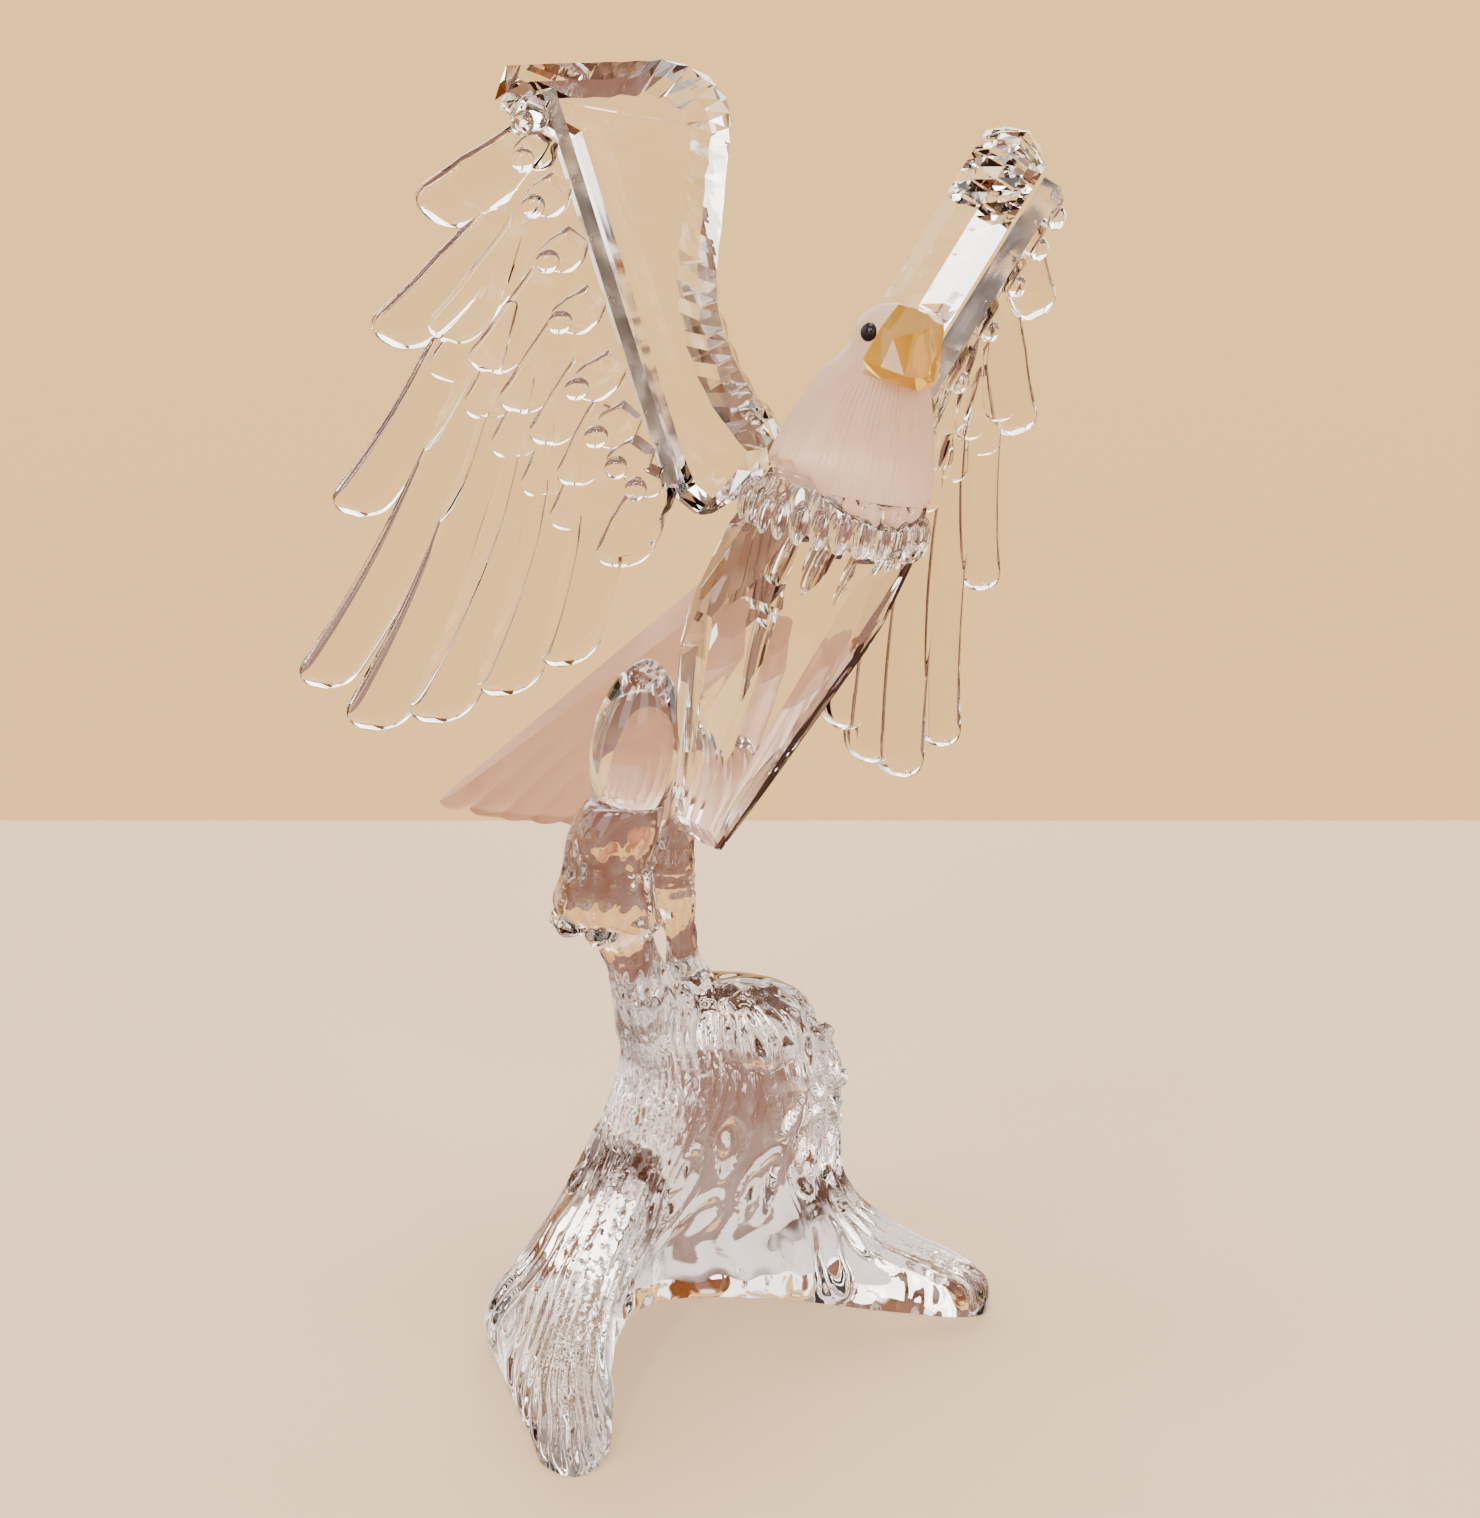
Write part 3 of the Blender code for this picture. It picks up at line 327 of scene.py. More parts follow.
def ground_flat(target: bpy.types.Object, point: Vector, normal: Vector) -> None:
    """Grind a piece flat, so that what lies on the normal's side goes.

    Args:
        target: The piece.
        point: A point of the flat, in the frame.
        normal: The way that the flat faces.
    """
    with edited(target.data) as work:
        everything = work.verts[:] + work.edges[:] + work.faces[:]
        cut = bmesh.ops.bisect_plane(work, geom=everything, dist=WELD, plane_co=point,
                                     plane_no=normal, clear_outer=True)
        rim = [item for item in cut["geom_cut"] if isinstance(item, bmesh.types.BMEdge)]
        bmesh.ops.holes_fill(work, edges=rim, sides=0)
        bmesh.ops.recalc_face_normals(work, faces=work.faces)


def mirror_image(piece: bpy.types.Object, name: str, matrix: Matrix) -> bpy.types.Object:
    """Left-hand copy of a piece of the right wing.

    Args:
        piece: Piece to mirror.
        name: Name of the copy.
        matrix: The eagle's matrix, whose X axis is turned round.

    Returns:
        The copy.
    """
    flip = matrix @ Matrix.Diagonal((-1, 1, 1, 1)) @ matrix.inverted()
    mesh = piece.data.copy()
    with edited(mesh) as work:
        bmesh.ops.transform(work, matrix=flip, verts=work.verts)
        bmesh.ops.reverse_faces(work, faces=work.faces)
    return linked(name, mesh)


def feed(tree: Tree, target: Socket, value: Socket | float | Colour) -> None:
    """Link an output to an input, or set the input's own number or colour.

    Args:
        tree: The nodes.
        target: The input.
        value: An output, a number or a colour.
    """
    if isinstance(value, bpy.types.NodeSocket):
        tree.links.new(value, target)
    elif isinstance(value, tuple):
        target.default_value = (*value, 1)
    else:
        target.default_value = value


def chain(tree: Tree, operation: str, *values: Socket | float) -> Socket:
    """Output of a Math node that is fed with outputs and numbers.

    Args:
        tree: The nodes.
        operation: The node's operation.
        values: One value for each input.

    Returns:
        The output.
    """
    made = tree.nodes.new("ShaderNodeMath")
    made.operation = operation
    for item, value in zip(made.inputs, values):
        feed(tree, item, value)
    return made.outputs[0]


def smooth_step(tree: Tree, value: Socket, start: float, end: float) -> Socket:
    """Output with a smooth step from 0 at the start to 1 at the end.

    Args:
        tree: The nodes.
        value: Output with the value.
        start: Value that gives 0.
        end: Value that gives 1.

    Returns:
        The output.
    """
    made = tree.nodes.new("ShaderNodeMapRange")
    made.interpolation_type = "SMOOTHSTEP"
    made.inputs["From Min"].default_value = start
    made.inputs["From Max"].default_value = end
    tree.links.new(value, made.inputs["Value"])
    return made.outputs["Result"]


def mixed(tree: Tree, factor: Socket, first: Socket | Colour, second: Socket | Colour) -> Socket:
    """Output with the mix of two colours: the first at factor 0, the second at 1.

    Args:
        tree: The nodes.
        factor: Output with the share of the second colour.
        first: The first colour.
        second: The second colour.

    Returns:
        The output.
    """
    mix = tree.nodes.new("ShaderNodeMix")
    mix.data_type = "RGBA"
    for label, value in (("Factor", factor), ("A", first), ("B", second)):
        feed(tree, mix.inputs[label], value)
    return mix.outputs["Result"]


def attribute(tree: Tree, name: str) -> Socket:
    """Output with a piece's own attribute.

    Args:
        tree: The nodes.
        name: Name of the attribute.

    Returns:
        The output.
    """
    made = tree.nodes.new("ShaderNodeAttribute")
    made.attribute_name = name
    return made.outputs["Fac"]


def node_group(name: str, inputs: dict[str, float], output: str,
               fill: Callable[[Tree, bpy.types.Node, bpy.types.Node], None]) -> Tree:
    """Shader node group with float inputs and one float output.

    Args:
        name: Name of the group.
        inputs: Its inputs with their default values.
        output: Name of its output.
        fill: Makes the nodes between the group's input and output nodes.

    Returns:
        The group, made once.
    """
    found = bpy.data.node_groups.get(name)
    if found is not None:
        return found
    tree = bpy.data.node_groups.new(name, "ShaderNodeTree")
    tree.interface.new_socket("Vector", in_out="INPUT", socket_type="NodeSocketVector")
    for label, value in inputs.items():
        socket = tree.interface.new_socket(label, in_out="INPUT", socket_type="NodeSocketFloat")
        socket.default_value = value
    tree.interface.new_socket(output, in_out="OUTPUT", socket_type="NodeSocketFloat")
    fill(tree, tree.nodes.new("NodeGroupInput"), tree.nodes.new("NodeGroupOutput"))
    return tree


def fill_melt(tree: Tree, source: bpy.types.Node, target: bpy.types.Node) -> None:
    """Slow waves of fire-polished glass, with a little fine grain on top.

    Args:
        tree: The group.
        source: Its input node.
        target: Its output node.
    """
    slow = tree.nodes.new("ShaderNodeTexNoise")
    fine = tree.nodes.new("ShaderNodeTexNoise")
    for node, label in ((slow, "Wave Scale"), (fine, "Grain Scale")):
        tree.links.new(source.outputs["Vector"], node.inputs["Vector"])
        tree.links.new(source.outputs[label], node.inputs["Scale"])
        node.inputs["Detail"].default_value = 1.0
    height = chain(tree, "MULTIPLY_ADD", fine.outputs["Fac"], source.outputs["Grain Share"],
                   slow.outputs["Fac"])
    tree.links.new(height, target.inputs["Height"])


@dataclass(frozen=True)
class CrystalFinish:
    """Finish of one kind of crystal, with its surface in nodes.

    Ground is the roughness added where the piece's ground attribute is high. The painted shade colour
    is laid where the piece's painted shade attribute is high, which darkens its grooves.
    """

    name: str
    slot: str
    colour: Colour
    shade: Colour
    roughness: Pair
    transmission: float = 1.0
    ior: float = 1.54
    specular: float = 0.5
    wave_scale: float = 90.0
    grain_scale: float = 900.0
    grain_share: float = 0.1
    bump: float = 0.0
    bump_depth: float = 0.0003
    # Colour of painted shade in the piece's grooves, or None for none.
    painted_shade: Colour | None = None
    ground: float = 0.0

    def material(self) -> bpy.types.Material:
        """Principled material whose colour, roughness and normal come from the melt's waves.

        Returns:
            The material, made once.
        """
        made = bpy.data.materials.get(self.name)
        if made is not None:
            return made
        made = bpy.data.materials.new(self.name)
        made.use_nodes = True
        tree = made.node_tree
        nodes, links = tree.nodes, tree.links
        shader = nodes["Principled BSDF"]
        place = nodes.new("ShaderNodeTexCoord")
        melt = nodes.new("ShaderNodeGroup")
        labels = {"Wave Scale": self.wave_scale, "Grain Scale": self.grain_scale,
                  "Grain Share": self.grain_share}
        melt.node_tree = node_group("glass_melt", labels, "Height", fill_melt)
        for label, value in labels.items():
            melt.inputs[label].default_value = value
        links.new(place.outputs["Object"], melt.inputs["Vector"])
        colour = mixed(tree, melt.outputs["Height"], self.colour, self.shade)
        # Painted shade: a darker colour laid in the grooves, by the painted shade attribute.
        if self.painted_shade is not None:
            colour = mixed(tree, attribute(tree, PAINTED_SHADE), colour, self.painted_shade)
        links.new(colour, shader.inputs["Base Color"])
        polish = nodes.new("ShaderNodeMapRange")
        polish.inputs["To Min"].default_value = self.roughness[0]
        polish.inputs["To Max"].default_value = self.roughness[1]
        links.new(melt.outputs["Height"], polish.inputs["Value"])
        roughness = polish.outputs["Result"]
        if self.ground > 0:
            roughness = chain(tree, "MULTIPLY_ADD", attribute(tree, GROUND), self.ground, roughness)
        links.new(roughness, shader.inputs["Roughness"])
        if self.bump > 0:
            bump = nodes.new("ShaderNodeBump")
            bump.inputs["Strength"].default_value = self.bump
            bump.inputs["Distance"].default_value = self.bump_depth
            links.new(melt.outputs["Height"], bump.inputs["Height"])
            links.new(bump.outputs["Normal"], shader.inputs["Normal"])
        shader.inputs["Metallic"].default_value = 0.0
        shader.inputs["Transmission Weight"].default_value = self.transmission
        shader.inputs["IOR"].default_value = self.ior
        shader.inputs["Specular IOR Level"].default_value = self.specular
        return made


CLEAR = (0.995, 0.985, 0.98)
CLEAR_SHADE = (0.985, 0.965, 0.96)
CUT_CRYSTAL = CrystalFinish("cut_look", "clear_crystal", CLEAR, CLEAR_SHADE, (0.0, 0.004),
                            ground=0.12)
MOULDED_CRYSTAL = CrystalFinish("moulded_look", "clear_crystal", CLEAR, CLEAR_SHADE, (0.0, 0.01),
                                ground=0.4)
# The stump's glass takes a darker brown painted shade in the grooves of its relief.
STUMP_CRYSTAL = CrystalFinish("stump_look", "stump_crystal", CLEAR, CLEAR_SHADE, (0.0, 0.01),
                              painted_shade=(0.76, 0.56, 0.45))
FROSTED_CRYSTAL = CrystalFinish("frosted_look", "frosted_crystal", (1.0, 0.79, 0.62),
                                (0.96, 0.7, 0.53), (0.4, 0.55), transmission=0.7, ior=1.45,
                                wave_scale=240, grain_scale=3000, grain_share=0.5, bump=0.15,
                                bump_depth=0.0001)
AMBER_CRYSTAL = CrystalFinish("amber_look", "amber_crystal", (0.84, 0.56, 0.09), (0.64, 0.36, 0.03),
                              (0.0, 0.03), transmission=0.72, ior=1.4)
BLACK_GLASS = CrystalFinish("black_look", "black_glass", (0.008, 0.008, 0.01), (0.02, 0.018, 0.02),
                            (0.03, 0.08), transmission=0.0, ior=1.45, specular=0.2)


def finish_piece(piece: bpy.types.Object, name: str, finish: CrystalFinish, nodes: Sequence[str],
                 smooth: float | None = None) -> bpy.types.Object:
    """Name and dress a finished piece, and let it ride on the frame in place of its nodes.

    Args:
        piece: The finished mesh object.
        name: Name of the piece.
        finish: Its finish.
        nodes: CAD nodes that it stands for.
        smooth: Angle up to which edges are shaded smooth, or None for flat facets.

    Returns:
        The piece.
    """
    piece.name = name
    piece.data.name = name
    piece.data.materials.clear()
    piece.data.materials.append(finish.material())
    piece.data.polygons.foreach_set("material_index", [0] * len(piece.data.polygons))
    if smooth is None:
        piece.data.shade_flat()
    else:
        piece.data.shade_smooth()
        piece.data.set_sharp_from_angle(angle=smooth)
    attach(piece, ROOT)
    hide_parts(*nodes)
    triangles = sum(len(face.vertices) - 2 for face in piece.data.polygons)
    LOG.info("%-22s %7d triangles", name, triangles)
    return piece


def grind(piece: bpy.types.Object, facing: Vector, is_joint: Callable[[Vector], bool]) -> None:
    """Mark the faces of a piece that are ground for glue.

    Args:
        piece: The piece.
        facing: Direction in the frame that the ground faces look in.
        is_joint: Says whether a face's middle, in the frame, lies in the glue joint.
    """
    direction = facing.normalized()
    marks = [float(face.normal.dot(direction) > JOINT_FACING and is_joint(face.center))
             for face in piece.data.polygons]
    piece.data.attributes.new(GROUND, "FLOAT", "FACE").data.foreach_set("value", marks)


class LobeRow:
    """Row of equal drop-shaped lobes along a path, made by Geometry Nodes."""

    INPUTS = {"Lobe Depth": 2.0, "Lobe Width": 2.0, "Lobe Length": 4.0}
    SEGMENTS = 20

    @classmethod
    def tree(cls) -> Tree:
        """Geometry node tree: a lobe on every vertex, turned by the vertex's stored normal.

        Returns:
            The tree, made once.
        """
        found = bpy.data.node_groups.get("lobe_row")
        if found is not None:
            return found
        tree = bpy.data.node_groups.new("lobe_row", "GeometryNodeTree")
        tree.interface.new_socket("Geometry", in_out="INPUT", socket_type="NodeSocketGeometry")
        for label, value in cls.INPUTS.items():
            socket = tree.interface.new_socket(label, in_out="INPUT", socket_type="NodeSocketFloat")
            socket.default_value = value * MM
        tree.interface.new_socket("Finish", in_out="INPUT", socket_type="NodeSocketMaterial")
        tree.interface.new_socket("Geometry", in_out="OUTPUT", socket_type="NodeSocketGeometry")
        add, link = tree.nodes.new, tree.links.new
        source, target = add("NodeGroupInput"), add("NodeGroupOutput")
        sphere = add("GeometryNodeMeshUVSphere")
        sphere.inputs["Segments"].default_value = cls.SEGMENTS
        sphere.inputs["Rings"].default_value = cls.SEGMENTS // 2
        sphere.inputs["Radius"].default_value = 1.0
        sizes = add("ShaderNodeCombineXYZ")
        turn = add("GeometryNodeInputNamedAttribute")
        turn.data_type = "FLOAT_VECTOR"
        turn.inputs["Name"].default_value = "turn"
        spread = add("GeometryNodeInstanceOnPoints")
        real = add("GeometryNodeRealizeInstances")
        dress = add("GeometryNodeSetMaterial")
        for label, axis in zip(cls.INPUTS, ("X", "Y", "Z")):
            link(source.outputs[label], sizes.inputs[axis])
        link(source.outputs["Geometry"], spread.inputs["Points"])
        link(sphere.outputs["Mesh"], spread.inputs["Instance"])
        link(turn.outputs["Attribute"], spread.inputs["Rotation"])
        link(sizes.outputs["Vector"], spread.inputs["Scale"])
        link(spread.outputs["Instances"], real.inputs["Geometry"])
        link(real.outputs["Geometry"], dress.inputs["Geometry"])
        link(source.outputs["Finish"], dress.inputs["Material"])
        link(dress.outputs["Geometry"], target.inputs["Geometry"])
        return tree

    @classmethod
    def build(cls, name: str, places: Sequence[Matrix], sizes: Sequence[float],
              finish: CrystalFinish) -> bpy.types.Object:
        """Lobes at given places.

        Args:
            name: Name of the object.
            places: One matrix for each lobe, in the frame, with its axes and its middle.
            sizes: Half depth, half width and half length, in millimetres.
            finish: Finish of the lobes.

        Returns:
            One plain mesh object with all the lobes.
        """
        mesh = bpy.data.meshes.new(name)
        mesh.from_pydata([tuple(place.to_translation()) for place in places], [], [])
        turns = mesh.attributes.new("turn", "FLOAT_VECTOR", "POINT")
        for item, place in zip(turns.data, places):
            item.vector = place.to_3x3().normalized().to_euler()
        row = linked(name, mesh)
        tree = cls.tree()
        modifier = row.modifiers.new("lobes", "NODES")
        modifier.node_group = tree
        sockets = {item.name: item.identifier for item in tree.interface.items_tree
                   if item.in_out == "INPUT"}
        for label, size in zip(cls.INPUTS, sizes):
            modifier[sockets[label]] = size * MM
        modifier[sockets["Finish"]] = finish.material()
        return baked(row)


@dataclass
class WingPlan:
    """Places points of the arm plate and the feather sheet of the right wing."""

    foot: Triple = (16.25, -19.05, -0.1)
    run: Triple = (0.469, -0.124, 0.874)
    facing_hint: Triple = (0.772, 0.539, -0.338)
    sheet_thickness: float = 2.8
    end_angle: float = radians(39)
    bend: float = 16.0
    reach: float = 60.0
    steps: int = 240
    sheet_joint: float = -0.1
    arm_joint: float = -2.0

    def __post_init__(self) -> None:
        """Work out the wing's axes and the line of its bent sheet."""
        self.along = Vector(self.run).normalized()
        hint = Vector(self.facing_hint)
        self.facing = (hint - self.along * hint.dot(self.along)).normalized()
        self.ahead = self.facing.cross(self.along)
        if self.ahead.y < 0:
            self.ahead = -self.ahead
        step = self.reach / self.steps
        self.line = [(0.0, 0.0)]
        for i in range(self.steps):
            angle = self.angle((i + 0.5) * step)
            back, off = self.line[-1]
            self.line.append((back + cos(angle) * step, off + sin(angle) * step))

    def angle(self, out: float) -> float:
        """Turn of the sheet away from the arm, at a distance out from the hinge line."""
        return self.end_angle * eased(out, 0.0, self.bend)

    def ahead_of_hinge(self, point: Vector) -> float:
        """How far a point of the eagle's axes lies ahead of the hinge line."""
        return (point - Vector(self.foot)).dot(self.ahead)

    def arm_point(self, ahead: float, along: float, depth: float) -> Vector:
        """Point of the arm plate, depth being measured down from its outer face."""
        face = Vector(self.foot) - self.facing * (self.sheet_thickness + GLUE_GAP)
        return face + self.ahead * ahead + self.along * along - self.facing * depth

    def sheet_point(self, out: float, along: float, level: float) -> Vector:
        """Point of the feather sheet, level being measured up from its outer face.

        Args:
            out: Distance out from the hinge line, along the bent sheet.
            along: Distance along the hinge line.
            level: Distance up from the outer face.

        Returns:
            The point, in the eagle's axes.
        """
        angle = self.angle(out)
        if out <= 0:
            back, off = out, 0.0
        else:
            place = min(out / self.reach, NEAR_ONE) * self.steps
            low = int(place)
            share = place - low
            before, after = self.line[low], self.line[low + 1]
            back, off = (start * (1 - share) + end * share for start, end in zip(before, after))
        normal = self.facing * cos(angle) + self.ahead * sin(angle)
        return (Vector(self.foot) + self.along * along - self.ahead * back + self.facing * off
                + normal * level)


@dataclass(frozen=True)
class FeatherRow:
    """Row of feathers: each is (root, tip, width), the points being (out, along) from the hinge."""

    feathers: tuple[tuple[Pair, Pair, float], ...]
    half_thickness: float
    level: float
    bow: float
    stations: int
    tilt: float = 0.0


PRIMARIES = FeatherRow((
    ((4.0, 41.5), (19.0, 35.5), 8.0),
    ((8.0, 35.0), (28.6, 22.4), 7.6),
    ((10.0, 32.5), (39.5, 3.4), 7.2),
    ((11.0, 28.0), (50.3, -16.1), 7.0),
    ((11.5, 21.0), (46.0, -23.4), 8.1),
    ((11.5, 14.5), (38.2, -25.2), 8.1),
    ((11.0, 7.5), (29.0, -24.7), 8.1),
    ((9.5, -1.0), (20.4, -23.6), 7.6),
), half_thickness=1.35, level=-1.5, bow=0.055, stations=26, tilt=0.45)
GREATER_COVERTS = FeatherRow((
    ((8.5, 30.0), (23.4, 15.8), 6.8),
    ((8.5, 23.5), (20.6, 9.8), 6.6),
    ((8.0, 17.0), (19.0, 4.1), 6.4),
    ((7.5, 10.5), (16.9, -1.8), 6.2),
    ((6.5, 4.0), (14.8, -6.9), 6.2),
    ((3.0, -3.5), (10.6, -13.2), 6.4),
), half_thickness=1.2, level=-0.9, bow=0.05, stations=16, tilt=0.5)
MEDIUM_COVERTS = FeatherRow((
    ((6.5, 32.5), (22.0, 20.6), 6.4),
    ((6.0, 26.0), (18.4, 15.4), 6.2),
    ((5.5, 20.0), (16.4, 9.4), 6.0),
    ((5.0, 14.0), (14.2, 4.4), 5.6),
    ((4.5, 8.5), (12.4, -1.6), 5.4),
), half_thickness=1.2, level=-0.3, bow=0.05, stations=14, tilt=0.5)
LESSER_TIPS = ((4.0, 42.6), (6.0, 36.6), (6.4, 28.0), (7.6, 18.0), (8.2, 7.0), (6.8, 0.0), (4.4, -4.4))


@dataclass
class FeatherSheet:
    """Moulded feather sheet of a wing: a bent plate with rows of feathers in relief.

    A row of the plate is its place along the hinge and its near and far edge out from it.
    """

    plan: WingPlan
    rows: tuple[Triple, ...] = (
        (46.2, 0.0, 2.4), (42.5, 0.0, 5.2), (34.0, 0.0, 9.0), (21.0, 0.0, 12.0), (8.0, 0.0, 12.8),
        (-3.6, 0.0, 12.6), (-7.4, 1.8, 12.2), (-10.8, 5.4, 11.8), (-12.2, 8.4, 10.8),
    )
    columns: int = 12
    lesser_count: int = 9
    lesser_width: float = 5.0
    lesser_root: float = 0.8
    lesser_rise: float = 3.4
    plate_rings: int = 40
    skew: float = 0.4
    root_width: float = 0.62
    root_thickness: float = 0.3
    root_fade: float = 4.0
    root_sink: float = 0.8
    root_widening: float = 2.2
    tip_steps: int = 14
    tip_share: Pair = (1.05, 0.4)
    tip_spacing: float = 1.6
    tip_power: float = 2.4
    section_points: int = 30
    edge_share: float = 0.8
    row_lift: float = 0.03
    tilt_reach: float = 4.0
    bead_sizes: Triple = (1.3, 1.45, 1.7)
    bead_shift: Triple = (-0.7, 0.8, 1.2)

    def plate(self) -> Shell:
        """Plain bent plate that carries the feathers, straight along the hinge line.

        Returns:
            The closed form.
        """
        rings = []
        for along, near, far in smooth_line([Vector(row) for row in self.rows], self.plate_rings):
            places = [near + (far - near) * step / self.columns for step in range(self.columns + 1)]
            front = [self.plan.sheet_point(place, along, 0.0) for place in places]
            back = [self.plan.sheet_point(place, along, -self.plan.sheet_thickness) for place in places]
            rings.append(front + back[::-1])
        return Shell.loft(rings)

    def lesser(self) -> FeatherRow:
        """Short feathers between the hinge line and their line of tips.

        Returns:
            The row.
        """
        tips = smooth_line([Vector(tip) for tip in LESSER_TIPS], self.lesser_count)
        feathers = tuple(((self.lesser_root, tip.y + self.lesser_rise), (tip.x, tip.y), self.lesser_width)
                         for tip in tips)
        return FeatherRow(feathers, half_thickness=0.9, level=0.1, bow=0.05, stations=10, tilt=0.1)

    def blade(self, feather: tuple, row: FeatherRow, lift: float) -> Shell:
        """One feather: a slab with round edges and a round tip, lying in the bent sheet.

        Args:
            feather: Its root, tip and width.
            row: The row that it belongs to.
            lift: How much higher it lies than the first one of its row.

        Returns:
            The closed form.
        """
        root, tip, width = feather
        start, end, half = Vector(root), Vector(tip), width / 2
        run = end - start
        control = (start + end) / 2 - Vector((-run.y, run.x)) * row.bow * 2
        tip_share = min(self.tip_share[0] * half / run.length, self.tip_share[1])
        shares = [(1 - tip_share) * i / row.stations for i in range(row.stations)]
        shares += [1 - tip_share * (1 - i / self.tip_steps) ** self.tip_spacing
                   for i in range(self.tip_steps + 1)]
        rings = []
        for share in shares:
            point = start * (1 - share) ** 2 + control * 2 * share * (1 - share) + end * share ** 2
            tangent = ((control - start) * (1 - share) + (end - control) * share).normalized()
            across = Vector((-tangent.y, tangent.x))
            reach = half * (self.root_width + (1 - self.root_width) * min(1.0, share * self.root_widening))
            rest = min(1 - TINY, max(0.0, (share - 1 + tip_share) / tip_share))
            reach *= (1 - rest ** self.tip_power) ** 0.5
            roll = min(1.0, (1 - share) * run.length / row.half_thickness + TINY)
            thick = row.half_thickness * sqrt(1 - (1 - roll) ** 2)
            thick *= min(1.0, self.root_thickness + self.root_fade * share)
            level = lift - self.root_sink * max(0.0, 1 - self.root_fade * share)
            rings.append([
                self.blade_point(point, across + tangent * self.skew * share, reach, thick, row,
                                 level, 2 * pi * (step + 0.5) / self.section_points)
                for step in range(self.section_points)
            ])
        return Shell.loft(rings)

    def blade_point(self, point: Vector, across: Vector, reach: float, thick: float, row: FeatherRow,
                    lift: float, angle: float) -> Vector:
        """Point of a feather's cross-section, which is a tilted slab with half-round edges.

        Args:
            point: Middle of the cross-section, as (out, along).
            across: Its direction in the sheet.
            reach: Its half width.
            thick: Its half thickness.
            row: The row that it belongs to.
            lift: How much it is raised.
            angle: Angle round it.

        Returns:
            The point, in the eagle's axes.
        """
        roll = min(thick, self.edge_share * reach)
        offset = math.copysign(reach - roll, cos(angle)) + roll * cos(angle)
        spot = point + across * offset
        level = row.level + lift + thick * sin(angle) + row.tilt * offset / self.tilt_reach
        return self.plan.sheet_point(spot.x, spot.y, level)

    def beads(self, matrix: Matrix) -> list[Matrix]:
        """Places of the small beads that end the lesser feathers.

        Args:
            matrix: The eagle's matrix, to the frame.

        Returns:
            One matrix for each bead, in the frame.
        """
        places = []
        out, along, level = self.bead_shift
        for root, tip, _ in self.lesser().feathers:
            spot = self.plan.sheet_point(tip[0] + out, tip[1] + along, level)
            run = (spot - self.plan.sheet_point(root[0], root[1], 1.0)).normalized()
            normal = (self.plan.facing - run * self.plan.facing.dot(run)).normalized()
            turn = Matrix((normal, run.cross(normal), run)).transposed().to_4x4()
            places.append(matrix @ Matrix.Translation(spot) @ turn)
        return places

    def build(self, matrix: Matrix) -> bpy.types.Object:
        """Right-hand sheet with all its feathers joined.

        Args:
            matrix: The eagle's matrix, to the frame.

        Returns:
            The sheet.
        """
        sheet = self.plate().piece("sheet", matrix)
        for row in (self.lesser(), MEDIUM_COVERTS, GREATER_COVERTS, PRIMARIES):
            for i, feather in enumerate(row.feathers):
                blade = self.blade(feather, row, self.row_lift * i).piece("blade", matrix)
                combine(sheet, blade, "UNION", Solver.FAST)
        beads = LobeRow.build("beads", self.beads(matrix), self.bead_sizes, MOULDED_CRYSTAL)
        return combine(sheet, beads, "UNION", Solver.FAST)


